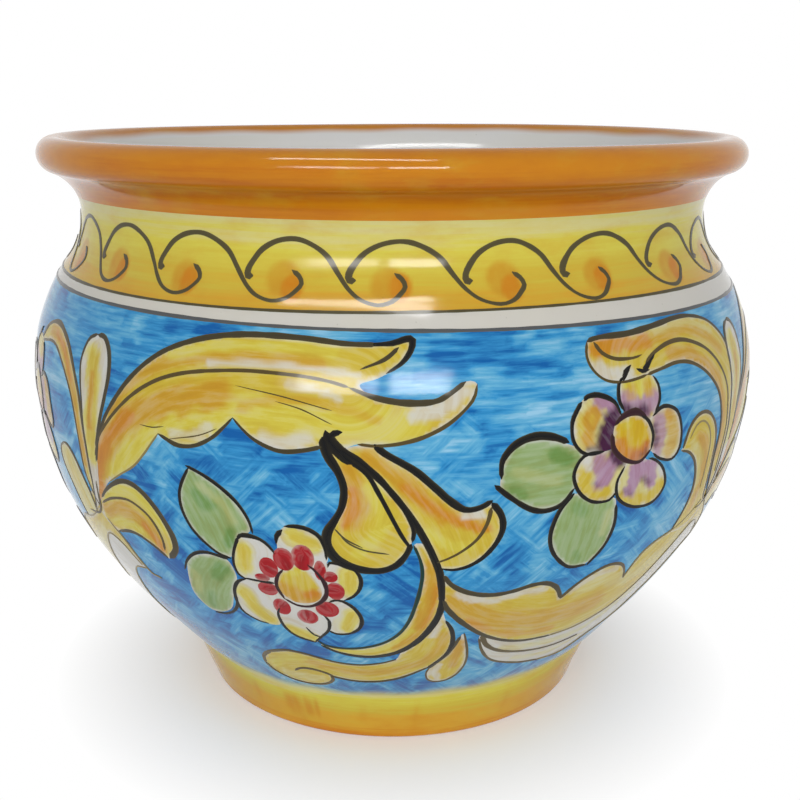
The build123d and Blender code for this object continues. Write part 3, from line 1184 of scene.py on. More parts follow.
    def horn_leaf(self) -> Motif:
        """The short horn that bends down under the large leaf.

        Returns:
            Its fills and lines.
        """
        outer = [(-46, 93.4), (-44.1, 97), (-41.4, 100.7), (-39.3, 102.4), (-37.3, 102.2), (-35.3, 99.9),
                 (-33.6, 95.8), (-32.5, 91.2), (-31.9, 86.9), (-32.2, 82.6), (-34, 78.6)]
        inner = [(-46.4, 91.3), (-43.4, 94.5), (-40.3, 96.2), (-38.2, 96), (-35.9, 93.5), (-34.6, 89.6),
                 (-34.1, 85.1), (-34.4, 81.3)]
        low = [(-44.6, 82.2), (-41.5, 84.1), (-39.2, 84), (-37.4, 82.6), (-36, 81), (-34.4, 78.4)]
        return Motif((Fill(outer + low[::-1] + [(-47.4, 86)], Paint.YELLOW, inner, (
            Dab(Paint.LEMON, 5.0, [(-45, 92), (-41.4, 98.4), (-38, 99.2), (-35, 96), (-33.4, 90)]),
            Dab(Paint.OCHRE, 6.0, [(-45.6, 89.6), (-41.4, 92.2), (-38.4, 91.6), (-36, 88), (-35, 83)], 0.8),
            Dab(Paint.ORANGE, 3.0, [(-37, 88.6), (-35.6, 84.6), (-34.8, 81)], 0.75),
            Dab(Paint.LEMON, 3.6, [(-44.4, 85.6), (-41, 87), (-38.6, 86)], 0.7)), 0.4, 2),), (
            Line(outer, (1.2, 1.6, 1.9, 2.1, 2.3, 2.6, 2.9, 2.4), Paint.SEPIA),
            Line(inner, (1.0, 1.3, 1.3, 1.4, 1.5, 1.4), Paint.UMBER),
            Line(low, (1.2, 1.7, 1.6, 1.6, 1.8), Paint.SEPIA),
        ))

    def left_green_leaves(self) -> Motif:
        """Two green leaves beside the red flower.

        Returns:
            Its fills and lines.
        """
        upper = [(-26.8, 111.6), (-24.5, 110), (-22, 106.7), (-20.1, 102.8), (-19, 98.4), (-18.8, 94.5),
                 (-20.4, 92.7), (-21.6, 88), (-22.4, 84.6), (-24.3, 85.2), (-26.2, 88.2), (-27.7, 92.2),
                 (-28.6, 97), (-28.8, 102), (-28.2, 106.5)]
        lower = [(-23.2, 83), (-26, 83.9), (-28.6, 82.4), (-30.6, 79), (-32, 71), (-32.4, 65), (-31.2, 60.2),
                 (-29.5, 59.2), (-27.4, 60.6), (-25.6, 63.5), (-24.2, 69.5), (-23.5, 73.5), (-22.5, 77)]
        return Motif((
            Fill(upper, Paint.SAGE, [(-27, 110), (-24.5, 100), (-22.5, 86)], (
                Dab(Paint.GREEN, 5.0, [(-26.2, 104), (-24.6, 101.4)], 0.7),
                Dab(Paint.GREEN, 4.0, [(-21.6, 93.4), (-22.2, 89)], 0.75),
                Dab(Paint.CREAM, 3.0, [(-25.4, 107), (-22.4, 102.5), (-21, 97)], 0.3)), 0.2),
            Fill(lower, Paint.SAGE, [(-24, 82), (-28, 72), (-30.5, 61)], (
                Dab(Paint.GREEN, 5.0, [(-24.6, 79.5), (-26, 76)], 0.7),
                Dab(Paint.GREEN, 4.4, [(-28.5, 67), (-29.6, 63)], 0.55),
                Dab(Paint.CREAM, 4.0, [(-30, 75), (-30.8, 68)], 0.3)), 0.2),
        ), (
            Line([(-26.8, 112), (-28.3, 106.5), (-28.9, 102), (-28.7, 97), (-27.8, 92), (-26.2, 88),
                  (-24.3, 85), (-22.5, 84)], (1.0, 1.3, 1.2, 1.1, 0.9)),
            Line([(-27.2, 112.6), (-24.5, 110.3), (-22, 107), (-20, 103), (-18.8, 98.5), (-18.4, 94)],
                 (1.0, 1.4, 1.4, 1.2, 0.8)),
            Line([(-23, 83.5), (-26.2, 84.5), (-28.7, 83), (-30.7, 79.3), (-31.8, 75.5)],
                 (0.8, 1.4, 1.2, 0.6)),
            Line([(-23.7, 69.5), (-24.4, 65), (-25.8, 61.5), (-27.8, 59.3), (-30, 58.8)],
                 (0.8, 1.3, 1.1, 0.6)),
        ))

    def red_flower(self) -> Motif:
        """The round flower with red dabs round its heart.

        Returns:
            Its fills and lines.
        """
        heart = [(-16.1, 79), (-15.6, 81.1), (-14.1, 83.5), (-13, 84.8), (-11.6, 83.5), (-10.7, 80.4),
                 (-9.9, 76.6), (-10.1, 73.3), (-11.1, 71.2), (-12.5, 70.4), (-14.1, 70.4), (-15.1, 71.7),
                 (-16, 74.4)]
        petals = (
            ([(-15.7, 87.8), (-16.4, 90.2), (-17.5, 92.2), (-19.2, 92.9), (-20.6, 92), (-21.7, 86.9),
              (-22.2, 82.4), (-22, 78.6), (-21, 77.2), (-15, 77)], [(-20.2, 88), (-20.6, 82)]),
            ([(-15, 77), (-21, 77), (-22.4, 75.6), (-23.6, 72), (-24.1, 66.8), (-23.7, 62.4), (-21.8, 59.4),
              (-18.5, 58.7), (-17.2, 62), (-14, 73)], [(-22.2, 71), (-21.2, 65.5), (-19.3, 61)]),
            ([(-15, 73), (-16.9, 67.3), (-17.6, 63.8), (-17.3, 58.4), (-15.8, 54.6), (-12.9, 52.4),
              (-11.5, 55.6), (-10, 59.2), (-9.6, 63.5), (-10.3, 67), (-12, 73)],
             [(-16.4, 58), (-13.4, 54.6)]),
            ([(-11, 73), (-9.1, 71.7), (-8.2, 72.6), (-7.1, 72.3), (-5.5, 69.4), (-4.6, 65), (-5.1, 60.8),
              (-6.9, 58.1), (-8.9, 57.7), (-10, 59.2), (-9.8, 64)], [(-5.9, 66.8), (-7.1, 60.8)]),
            ([(-10.5, 81), (-8.6, 86.2), (-7, 85.9), (-5.2, 84.5), (-4.3, 81.3), (-4.5, 77.4), (-5.5, 74.3),
              (-6.8, 72.7), (-10, 74)], [(-5.8, 82.6), (-5.9, 76.8)]),
            ([(-15, 82), (-15.2, 91.5), (-15, 94.1), (-13.9, 97.4), (-12.1, 97.7), (-10.6, 97), (-9.3, 94.8),
              (-8.7, 90.9), (-8.6, 86.6), (-11, 82)], [(-12.8, 94.4), (-10.4, 92.2)]),
        )
        spots = ((-17, 82.7, 2.5, 6.8), (-14.6, 86.3, 2.7, 7.4), (-11.9, 87.5, 2.9, 8.4),
                 (-9.7, 83.4, 1.5, 6.6), (-8.4, 81.4, 1.9, 3.7), (-7.9, 76.1, 2.4, 6.2),
                 (-9.5, 68.5, 3.2, 5.9), (-12.8, 64.6, 3.0, 5.7), (-16.5, 67.7, 2.5, 6.2),
                 (-17.9, 74.5, 2.8, 4.8), (-18.3, 78.7, 2.1, 2.6))
        fills = []
        for edge, yellow in petals:
            dabs = (Dab(Paint.LEMON, 7.0, yellow, 0.9), Dab(Paint.YELLOW, 3.6, yellow, 0.75))
            fills.append(Fill(edge, Paint.WHITE, yellow, dabs, 0.2, 1))
        down, middle = [(-13, 86), (-12.8, 69)], (-12.8, 77)
        fills.append(Fill(oval(-12.9, 77, 10.5, 23), Paint.WHITE, down, (), 0.0, 0))
        fills.append(Fill(heart, Paint.YELLOW, down, (
            Dab(Paint.OCHRE, 7.0, [(-15.2, 75.5), (-13.6, 72.6), (-11, 73)], 0.9),
            Dab(Paint.ORANGE, 3.6, [(-12, 73.8), (-10.8, 74.6)], 0.9),
            Dab(Paint.LEMON, 3.0, [(-14, 81.5), (-12.6, 82.6)], 0.7)), 0.2, 2))
        for angle, height, wide, tall in spots:
            toward = [(angle, height), ((angle + middle[0]) / 2, (height + middle[1]) / 2)]
            fills.append(Fill(oval(angle, height, 1.1 * wide, 1.08 * tall), Paint.RED, toward,
                              (Dab(Paint.CRIMSON, 1.8, toward, 0.45),), -0.8, 3))
        return Motif(tuple(fills), (
            Line([(-20.9, 91), (-20.4, 92.6), (-19.2, 93), (-17.5, 92.2), (-16.4, 90.2), (-15.7, 87.8)],
                 (1.0, 2.0, 1.5, 1.2, 0.8)),
            Line([(-20.7, 92), (-21.8, 86.9), (-22.3, 82.4), (-22, 78.6), (-21, 77.2)],
                 (1.4, 1.2, 1.1, 1.0, 0.7)),
            Line([(-21.2, 77.4), (-19.3, 77.1), (-16.6, 77)], (0.8, 1.1, 1.5)),
            Line([(-21, 77), (-22.4, 75.6), (-23.6, 72), (-24.1, 66.8), (-23.7, 62.4), (-21.8, 59.6),
                  (-20, 58.9)], (0.8, 1.5, 1.5, 1.2, 0.8, 0.4)),
            Line([(-16.9, 67.3), (-17.6, 63.8), (-17.3, 58.4), (-15.8, 54.6), (-12.9, 52.6)],
                 (0.8, 1.3, 1.3, 1.2, 1.0)),
            Line([(-10.3, 66), (-9.6, 63.5), (-10, 59.2), (-11.5, 55.6), (-12.9, 52.6)],
                 (0.8, 1.3, 1.3, 1.1, 0.9)),
            Line([(-13.6, 59.6), (-12.7, 56.4), (-11.4, 55.4)], (0.6, 0.9, 0.7)),
            Line([(-9.1, 71.5), (-8.2, 72.4), (-7.1, 72.2), (-5.5, 69.4), (-4.6, 65), (-5.1, 60.8),
                  (-6.9, 58.1), (-8.9, 57.7), (-10, 59.2)], (0.8, 1.2, 1.4, 1.6, 1.4, 1.1, 0.9)),
            Line([(-8.6, 84.8), (-8.3, 86.3), (-7, 86), (-5.2, 84.5), (-4.3, 81.3), (-4.5, 77.4),
                  (-5.5, 74.3), (-6.8, 72.7)], (0.8, 1.2, 1.1, 1.4, 1.5, 1.3, 0.8)),
            Line([(-15.3, 91.3), (-15.1, 94), (-14.2, 96.4)], (0.8, 1.9, 2.4)),
            Line([(-13.9, 97.6), (-12.1, 97.8), (-10.6, 97), (-9.3, 94.8), (-8.7, 90.9), (-8.7, 87.3)],
                 (1.0, 1.7, 1.6, 1.6, 1.3, 1.0)),
            Line([(-11.4, 85.4), (-10.2, 82.7), (-9.3, 79), (-9.2, 75), (-10.2, 71.4), (-12, 69.2),
                  (-14, 69.2), (-15.7, 71.4)], (0.8, 1.6, 2.0, 1.8, 1.4, 1.1, 0.9), Paint.MAROON),
            Line([(-15.7, 71.2), (-16.4, 76), (-15.9, 80), (-14.8, 82.8)], (0.9, 1.5, 1.5, 0.8),
                 Paint.MAROON),
        ))

    def double_leaf(self) -> Motif:
        """The leaf of two lobes that hangs in the middle, with the stem below it.

        Returns:
            Its fills and lines.
        """
        left = [(-8.4, 125), (-7.8, 120), (-6.6, 115.5), (-5.9, 110.5), (-6.2, 105), (-7.2, 100.5),
                (-8.2, 96.5), (-8.3, 92), (-7.1, 87.6), (-4.8, 85), (-2, 84.2), (0.2, 85.8), (1.6, 89.3),
                (2.4, 93.5)]
        spine = [(-6.5, 121.8), (-4, 118.4), (-1.6, 113.5), (0.4, 108), (2.3, 102), (3.9, 95.8), (5.3, 89),
                 (6.2, 83.5), (6.7, 78), (7, 72)]
        right_top = [(-2.2, 123.3), (-1, 120.7), (2.5, 116), (5, 111), (7, 106.6), (9, 103.6), (11, 104),
                     (12.5, 106)]
        right_end = [(12.4, 105.3), (13.7, 101.3), (14.1, 97), (13.4, 92), (11.9, 87.6), (10, 84.9),
                     (7.9, 84), (6.4, 84.8)]
        left_fill = left + [(2.5, 98), (1.4, 104.5), (-0.8, 110.8), (-3.2, 116), (-6, 121.5)]
        right_fill = right_top + right_end + [
            (5.3, 89), (3.8, 95.8), (2.2, 102), (0.3, 108), (-1.7, 113.3), (-4, 118), (-6, 121.5)]
        stem_left = [(2.7, 93), (3.6, 88), (4, 83), (3.8, 77), (3.3, 71), (2.5, 64.5), (1, 58.5), (-1.5, 54),
                     (-5, 51.3), (-8.5, 50.5), (-11.3, 51.4)]
        stem_right = [(-12, 51.2), (-9.5, 48.4), (-6, 46.8), (-2.5, 47.1), (1, 49.6), (3.7, 54.1),
                      (5.6, 60.1), (6.7, 66.1), (7, 71.5), (6.6, 78), (6.2, 83.5)]
        return Motif((
            Fill(stem_left + stem_right + [(5.3, 88.5), (4.2, 93)], Paint.YELLOW, stem_left, (
                Dab(Paint.OCHRE, 5.0, [(5.2, 86), (5.4, 76), (4.8, 66), (3.2, 58), (0.6, 52.5)], 0.8),
                Dab(Paint.ORANGE, 2.0, [(6, 78), (5.8, 69), (4.6, 61)], 0.55),
                Dab(Paint.LEMON, 2.6, [(3, 60), (-1, 52), (-6, 49.2), (-9.5, 50)], 0.8)), 0.4, 1),
            Fill(left_fill, Paint.YELLOW, [(-7, 120), (-4.4, 108), (-5, 96), (0, 88)], (
                Dab(Paint.OCHRE, 6.0, [(-5.6, 116), (-4.2, 107), (-5, 100)]),
                Dab(Paint.ORANGE, 3.4, [(-5, 110), (-4.9, 104), (-6, 99)], 0.8),
                Dab(Paint.LEMON, 5.0, [(-2.6, 111), (-1, 103), (-2, 96), (-4.4, 90)], 0.75)), 0.4, 2),
            Fill(right_fill, Paint.YELLOW, spine, (
                Dab(Paint.OCHRE, 5.5, [(-3, 119.5), (1, 113), (4, 106.5), (7, 101.5), (11, 98.5)]),
                Dab(Paint.ORANGE, 3.0, [(1.4, 111), (5.6, 103.5), (9, 99.5), (12, 97)], 0.75),
                Dab(Paint.LEMON, 4.0, [(4.6, 97), (7, 93), (9.8, 91.5)], 0.8),
                Dab(Paint.WHITE, 2.4, [(9, 101.8), (11.4, 101.6)], 0.8)), 0.4, 2),
        ), (
            Line(stem_left + [(-12.3, 53.4)], (1.0, 1.4, 1.3, 1.2, 1.0), Paint.PINE),
            Line(stem_right[::-1][1:], (1.6, 2.6, 2.8, 2.8, 2.4, 1.8, 1.0)),
            Line(left, (4.0, 3.2, 2.5, 2.4, 3.8, 4.0, 3.2, 2.6, 2.0)),
            Line(spine, (3.2, 2.8, 2.6, 2.6, 2.8, 2.8, 2.4)),
            Line([(-8.1, 126.8), (-7.6, 124), (-6.8, 121.8), (-5.6, 119.2), (-4.7, 117.6)],
                 (2.0, 4.6, 5.0, 4.2, 2.6)),
            Line([(-7.7, 124.6), (-7, 126), (-6, 126.4)], (1.6, 2.4, 1.6)),
            Line([(-5.1, 118.4), (-3.1, 114.9), (-1.6, 108.8), (0, 101.4), (1.2, 96), (2.3, 92)],
                 (2.0, 1.9, 1.9, 1.8, 1.7, 1.3)),
            Line([(-0.9, 111), (1.2, 105), (2.6, 98.5), (2.5, 94)], (0.9, 1.4, 1.9, 1.4)),
            Line([(-6.9, 97.3), (-5.8, 93.8), (-3.6, 91.2), (-0.4, 90)], (0.6, 0.8, 0.6), Paint.OLIVE),
            Line([(-7.4, 98.3), (-6, 94.8), (-3.8, 92)], (0.6, 0.8, 0.5), Paint.OLIVE),
            Line(right_top, (2.4, 2.2, 2.6, 2.8, 2.8, 2.2, 1.8)),
            Line(right_end, (2.4, 2.4, 2.2, 2.0, 1.6, 0.9)),
            Line([(12.4, 104), (12, 99), (10.9, 94.2), (9, 90.3), (7, 87.8), (5.6, 86.8)],
                 (1.9, 1.6, 1.2, 0.8), Paint.UMBER),
        ))

    def scroll(self) -> Motif:
        """The scroll that runs along above the foot, with the drop leaf beside it.

        Returns:
            Its fills and lines.
        """
        upper = [(0.6, 45.4), (-2, 43.1), (-6, 41.4), (-10, 41.9), (-13, 43.4), (-16, 45.1), (-19, 45.6),
                 (-21.6, 44.2), (-24, 42), (-26.2, 38.4), (-27.2, 34.6)]
        lower = [(6.6, 39.8), (4, 36.6), (1, 34.1), (-3, 32.4), (-7, 32), (-10.5, 32.7), (-12.8, 33.6)]
        right = [(8, 64), (9.3, 59), (9.9, 53), (9.5, 48), (8.2, 43.4), (6.6, 39.8)]
        volute = [(-27.2, 34.6), (-26.6, 31.2), (-24.8, 28.9), (-22.2, 27.5), (-18.6, 27.2), (-15.4, 28.2),
                  (-13.4, 30), (-12.6, 31.8), (-12.8, 33.6)]
        drop = [(11.2, 57), (10.4, 51), (9.6, 47), (8.2, 43), (7, 39.5), (6.7, 36), (7.3, 33.3), (9, 32),
                (11.2, 32.4), (12.9, 34.8), (13.5, 38.5), (13.4, 43), (12.8, 48), (12, 53)]
        stem = [(7, 70), (6.8, 66), (5.7, 60), (3.8, 54), (1.6, 49.6)]
        body = stem + upper + volute[1:] + lower[::-1][1:] + right[::-1][1:]
        flow = [(8, 60), (5, 45), (-5, 37), (-15, 40), (-25, 35), (-28, 28)]
        return Motif((
            Fill(body, Paint.YELLOW, flow, (
                Dab(Paint.OCHRE, 5.0, [(8.2, 57), (7.6, 49), (4, 42), (-2, 37.6), (-9, 37.2), (-16, 40.4)],
                    0.6),
                Dab(Paint.WHITE, 3.2, [(6.9, 63), (6.5, 57)]),
                Dab(Paint.LEMON, 5.0, [(-17, 42), (-21, 40), (-24.6, 35)], 0.7),
                Dab(Paint.CREAM, 6.0, [(-23, 31.6), (-19, 30.6), (-15.2, 31.4)], 0.8)), 0.5),
            Fill(drop, Paint.YELLOW, [(11.2, 56), (10.4, 45), (10, 33)], (
                Dab(Paint.OCHRE, 4.4, [(11.2, 53), (11.2, 46), (11.4, 40)], 0.8),
                Dab(Paint.WHITE, 3.4, [(8.6, 41), (8, 36.5), (9, 34)])), 0.5, 1),
        ), (
            Line(right, (1.0, 1.7, 1.9, 1.6, 1.2)),
            Line(upper, (0.5, 0.8, 0.9, 1.1, 1.7, 1.8, 1.3), Paint.UMBER),
            Line(lower, (0.9, 1.1, 1.0, 0.9), Paint.SEPIA),
            Line(volute, (1.3, 1.1, 0.9, 0.9, 1.1, 1.4, 1.2), Paint.UMBER),
            Line([(-20.6, 33.7), (-18.6, 35.6), (-16.2, 36), (-13.8, 35), (-12.2, 33.6)],
                 (1.0, 1.5, 1.4, 1.2), Paint.UMBER),
            Line([(11, 56), (10.3, 51), (9.5, 47), (8.2, 43), (7, 39.5)], (1.2, 1.4, 1.1), Paint.SEPIA),
            Line([(11.4, 57.6), (12.2, 53), (13, 48), (13.6, 43), (13.7, 38.5), (13, 34.8), (11.2, 32.3),
                  (9, 31.8), (7.2, 33.2), (6.6, 36.3), (7, 39.6)], (0.6, 1.0, 1.0, 0.9, 0.8, 0.7, 0.6),
                 Paint.UMBER),
        ))

    def low_leaf(self) -> Motif:
        """The scalloped leaf at the lower right, with the pale band under it.

        Returns:
            Its fills and lines.
        """
        first = [(6.8, 82.3), (8, 78.6), (10, 75.6), (12.5, 73.7), (15, 73.1), (17.5, 73.7), (20, 74.9),
                 (22.3, 74.9), (24.2, 72.9), (25.4, 70), (26.2, 67)]
        second = [(26.2, 67), (28, 71.1), (30, 74.1), (32.5, 76.1), (34.5, 76.1), (36.5, 74.6), (37.9, 71.5),
                  (38.7, 68)]
        third = [(38.7, 68), (39.5, 73.6), (40.6, 77.1), (42.5, 79.4), (45, 80.6), (48, 82), (51, 84.5),
                 (53.6, 88)]
        under = [(7, 73), (7.8, 69.5), (9.5, 65), (12, 60), (15, 55.3), (19, 51.3), (23.5, 49), (29, 48.3)]
        under_end = [(29, 48.3), (35, 49.3), (41, 53.5), (45, 61), (48.5, 69.5), (51.5, 76), (54.4, 79),
                     (57.5, 77), (59.2, 73.6), (60.8, 70.2)]
        stem = [(56.2, 85.6), (57, 83.8), (58.9, 80.1), (60.2, 75.8), (61.4, 71.5), (62.8, 68.2),
                (65.4, 67.4)]
        middle = [(14.6, 55.4), (16.2, 50), (19, 46), (23, 43.2), (28, 41.2), (33, 40.4), (39, 41.4)]
        border = [(14.3, 54), (15.6, 48), (17.9, 42.1), (21, 38.3), (26, 35.3), (32, 33.5)]
        border_end = [(32, 33.5), (39, 33), (44.5, 37.5), (48.5, 45), (51.5, 54), (54.3, 62), (57.5, 67.6),
                      (61.6, 69.4)]
        leaf = first + second[1:] + third[1:] + stem[:-1] + under_end[::-1] + under[:-1][::-1]
        flow = [(8, 74), (14, 64), (26, 58), (40, 62), (50, 76), (56, 86)]
        return Motif((
            Fill(border + border_end[1:] + under_end[::-1] + under[4:7][::-1], Paint.WHITE, middle, (
                Dab(Paint.CREAM, 5.0, [(20, 46.5), (28, 44.6), (38, 45.5), (46, 58)], 0.7),
                Dab(Paint.LEMON, 3.0, [(24, 38.6), (34, 36.6), (43, 41)], 0.4)), 0.2),
            Fill(leaf, Paint.YELLOW, flow, (
                Dab(Paint.OCHRE, 12.0, [(9, 71), (12.5, 65.5), (18, 61), (26, 59), (34, 60)], 0.7),
                Dab(Paint.CREAM, 7.0, [(30, 68.6), (34, 70.6), (40, 67), (46, 71), (51, 79)], 0.7),
                Dab(Paint.ORANGE, 3.6, [(11.5, 63), (15.5, 57.5), (21, 53.6), (28, 52.4)], 0.5),
                Dab(Paint.WHITE, 3.0, [(9.2, 74.6), (12, 71.9), (15.5, 71.3), (19, 72.4), (22.4, 72.2)], 0.8),
                Dab(Paint.WHITE, 2.6, [(27.8, 68.8), (30, 72.2), (33, 74), (35.5, 73.4)], 0.65)), 0.4, 1),
        ), (
            Line(first, (1.4, 2.1, 2.2, 1.8, 1.9, 2.0, 1.4), Paint.SEPIA),
            Line(second, (1.4, 1.3, 1.3, 1.4, 1.2, 0.8), Paint.UMBER),
            # The faint lines toward the leaf's right end are partly thin paint, partly a painted reflection
            # that pales them near the pot's right side.
            Line(third, (0.7, 0.9, 0.9, 0.8, 0.6), Paint.FAINT),
            Line(under, (2.2, 2.2, 1.9, 1.5, 1.1), Paint.SEPIA),
            Line(under_end, (1.0, 0.9, 0.8, 0.8, 0.7), Paint.FAINT),
            Line(stem, (0.9, 1.0, 0.9, 0.8), Paint.FAINT),
            Line(middle, (1.8, 2.0, 1.7, 1.3, 1.0, 0.6), Paint.UMBER),
            Line(border, (0.8, 1.2, 1.2, 1.0, 0.7), Paint.UMBER),
            Line(border_end, (0.7, 0.7, 0.8, 0.8, 0.6), Paint.FAINT),
        ))

    def plum_flower(self) -> Motif:
        """The flower with plum shading under the right curl.

        Returns:
            Its fills and lines.
        """
        heart = [(29.3, 124.8), (30.8, 125.6), (32.7, 125.6), (34.6, 123), (35.5, 118.6), (35.3, 114.5),
                 (33.7, 111.9), (31.2, 113.2), (29.4, 116.8), (28.9, 121)]
        top = [(32.5, 121), (30.5, 127.3), (29.9, 131), (30.2, 135.2), (31.3, 137.4), (33.2, 137.6),
               (35.6, 136.2), (36.7, 133.3), (36.8, 128.8), (35.9, 124.8)]
        upper_left = [(31.5, 119), (30.1, 126.4), (29, 130.6), (26.7, 132.9), (24.6, 132.7), (23.7, 130.7),
                      (22.9, 126.5), (23.1, 121.4), (24.3, 117.8), (25.7, 116.7), (28.1, 116.8)]
        lower_left = [(31.8, 117), (28.1, 116.8), (25.4, 116.7), (24.1, 115.2), (23.5, 110.7), (24.6, 105.4),
                      (26.9, 101.8), (29.5, 101.4), (30.5, 103.9), (31.2, 110)]
        bottom = [(33, 115), (31.2, 110.9), (30.4, 106.1), (31.3, 100.7), (34.4, 96.9), (38, 96.7),
                  (39.7, 101), (38.7, 106.7), (36.8, 110.4), (35, 111.6)]
        right = [(34, 118), (35.6, 124.6), (37.7, 126.3), (40.3, 124.1), (41.5, 118.8), (41.5, 112.5),
                 (40.1, 109.6), (37.6, 111.1), (36.1, 113.2)]
        return Motif((
            Fill(top, Paint.LEMON, [(33.3, 124), (33.2, 138)], (
                Dab(Paint.MAUVE, 7.5, [(30.9, 129.6), (33.1, 127.4), (35.8, 128.8)], 0.95, 0.2),
                Dab(Paint.OCHRE, 3.4, [(32, 133.4), (31.9, 131.4)], 0.6, 0.2),
                Dab(Paint.OCHRE, 4.0, [(34.9, 134), (35.1, 131.8)], 0.7, 0.2),
                Dab(Paint.YELLOW, 3.0, [(31.6, 136.2), (33.2, 136.8), (35.2, 135.8)], 0.7),
                Dab(Paint.PLUM, 4.4, [(30.7, 127.8), (32, 126.6), (33.8, 126.4)], 0.95, 0.5)), 0.4, 1),
            Fill(upper_left, Paint.CREAM, [(29, 119), (24.5, 131)], (
                Dab(Paint.YELLOW, 4.0, [(24, 127), (24, 122), (24.8, 119.6)]),
                Dab(Paint.MAUVE, 6.0, [(27, 131.4), (28.6, 129.4), (28.8, 125.6)], 1.0, 0.22),
                Dab(Paint.PLUM, 7.0, [(28.8, 125.6), (27.9, 121.4), (28.2, 118)], 1.0),
                Dab(Paint.PLUM, 3.6, [(28.2, 119.4), (26.6, 118.4), (25.4, 118.4)], 0.7, 0.5),
                Dab(Paint.OCHRE, 5.2, [(25.6, 128), (25.5, 125)], 0.9, 0.16),
                Dab(Paint.YELLOW, 2.0, [(25.4, 127.4), (25.5, 126)], 0.5),
                Dab(Paint.OCHRE, 3.8, [(24.9, 121.4), (25.2, 120.6)], 0.95, 0.16),
                Dab(Paint.PLUM, 2.6, [(29.3, 129.4), (29.2, 127.2)], 0.7, 0.5)), 0.5, 1),
            Fill(lower_left, Paint.CREAM, [(30, 116), (26, 103)], (
                Dab(Paint.YELLOW, 5.0, [(24.6, 111), (25.4, 105.6), (28.8, 103.2)], 1.0, 0.2),
                Dab(Paint.WHITE, 3.4, [(25, 115), (25.6, 113)], 0.9),
                Dab(Paint.MAUVE, 6.6, [(29.4, 113.4), (27.8, 108.2)], 1.0, 0.16),
                Dab(Paint.MAUVE, 5.4, [(27, 114), (27.2, 112.4)], 0.95, 0.16),
                Dab(Paint.PLUM, 4.4, [(29.2, 116.2), (30.4, 112.8)], 0.95, 0.5),
                Dab(Paint.PLUM, 1.6, [(26.6, 107.4), (27.4, 106.2)], 0.35, 0.6)), 0.5, 1),
            Fill(bottom, Paint.CREAM, [(33.5, 112), (35.5, 98)], (
                Dab(Paint.YELLOW, 4.6, [(31.6, 101.6), (34.4, 98.8), (37.4, 98.6), (39, 102)], 1.0, 0.2),
                Dab(Paint.MAUVE, 6.2, [(33.6, 109.4), (33, 103)], 1.0, 0.16),
                Dab(Paint.MAUVE, 6.4, [(36, 109), (36.6, 104.4)], 1.0, 0.16),
                Dab(Paint.PLUM, 1.8, [(33.2, 101.4), (31.8, 103)], 0.4, 0.6),
                Dab(Paint.PLUM, 2.4, [(36.4, 103.8), (35, 105.4)], 0.55, 0.6),
                Dab(Paint.WHITE, 2.4, [(38.6, 105.5), (37.8, 108.2)], 0.9)), 0.5, 1),
            Fill(right, Paint.CREAM, [(36, 118), (41, 118)], (
                Dab(Paint.OCHRE, 5.4, [(38.8, 123.6), (40, 117.4), (39.4, 112.2)], 0.6, 0.3),
                Dab(Paint.MAUVE, 5.6, [(36.8, 122.6), (37.3, 117.2), (37, 113.6)], 0.85, 0.3),
                Dab(Paint.OCHRE, 2.6, [(38.6, 124), (39.2, 122)], 0.8),
                Dab(Paint.PLUM, 2.6, [(36.1, 121), (36.5, 116)], 0.7, 0.5)), 0.6, 1),
            Fill(heart, Paint.GOLD, [(32, 126), (32, 112)], (
                Dab(Paint.LEMON, 3.0, [(30.6, 124), (31.4, 123.6)], 0.6),
                Dab(Paint.ORANGE, 5.4, [(30, 117.6), (31.4, 114.2), (34.2, 114)], 0.9),
                Dab(Paint.RUST, 3.8, [(32.6, 113.2), (34.2, 114), (34.7, 116)], 0.95),
                Dab(Paint.MAROON, 1.8, [(33.6, 112.6), (34.6, 114)], 0.5)), 0.0, 2),
        ), (
            Line([(30.6, 127.5), (29.8, 131), (30, 135.2), (30.9, 137)], (1.0, 1.4, 1.4, 1.5)),
            Line([(35.9, 124.8), (36.9, 128.8), (36.8, 133.3), (36, 135.8)], (1.0, 1.4, 1.2, 0.8)),
            Line([(30.7, 135.8), (31.3, 138), (32.4, 139.8)], (1.5, 2.6, 1.0)),
            Line([(37, 141.6), (36, 140.2), (35, 138.4), (34.2, 137.4)], (1.3, 1.7, 2.4, 2.6)),
            Line([(30.1, 126.4), (29, 130.6), (26.7, 133), (25, 133), (24.4, 132)],
                 (0.9, 1.4, 1.8, 1.9, 1.5)),
            Line([(24.1, 131.8), (23.5, 130), (22.7, 126.5), (22.9, 121.4), (24.2, 117.6), (25.7, 116.5),
                  (27.6, 116.8)], (1.7, 1.5, 1.3, 1.3, 1.2, 1.0)),
            Line([(27.6, 116.8), (25.4, 116.8), (24, 115.2), (23.3, 110.7), (24.5, 105.2), (26.8, 101.5),
                  (29.5, 101), (30.5, 103.6)], (0.9, 1.2, 1.4, 1.4, 1.4, 1.4, 1.1, 0.8)),
            Line([(31.2, 111), (30.3, 106.1), (31.2, 100.5), (34.4, 96.6), (38, 96.4), (39.9, 101),
                  (38.9, 106.7), (36.9, 110.5), (35.4, 111.8)],
                 (0.9, 1.4, 1.3, 1.3, 1.3, 1.2, 1.2, 1.1, 0.8)),
            Line([(35.6, 124.4), (37.7, 126.5), (40.4, 124.3), (41.7, 118.8), (41.7, 112.4), (40.2, 109.3),
                  (37.6, 110.8), (36.2, 113)], (1.0, 1.5, 1.3, 1.2, 1.2, 1.1, 0.9)),
            Line([(28.7, 121.6), (29.2, 116.8), (31.1, 113), (33.7, 111.4), (35.6, 114.4)],
                 (2.0, 2.4, 1.9, 1.4, 1.0), Paint.MAROON),
            Line([(35.6, 114.4), (35.9, 118.6), (34.9, 123.2), (33.4, 125.6)], (1.1, 1.4, 1.5, 1.2)),
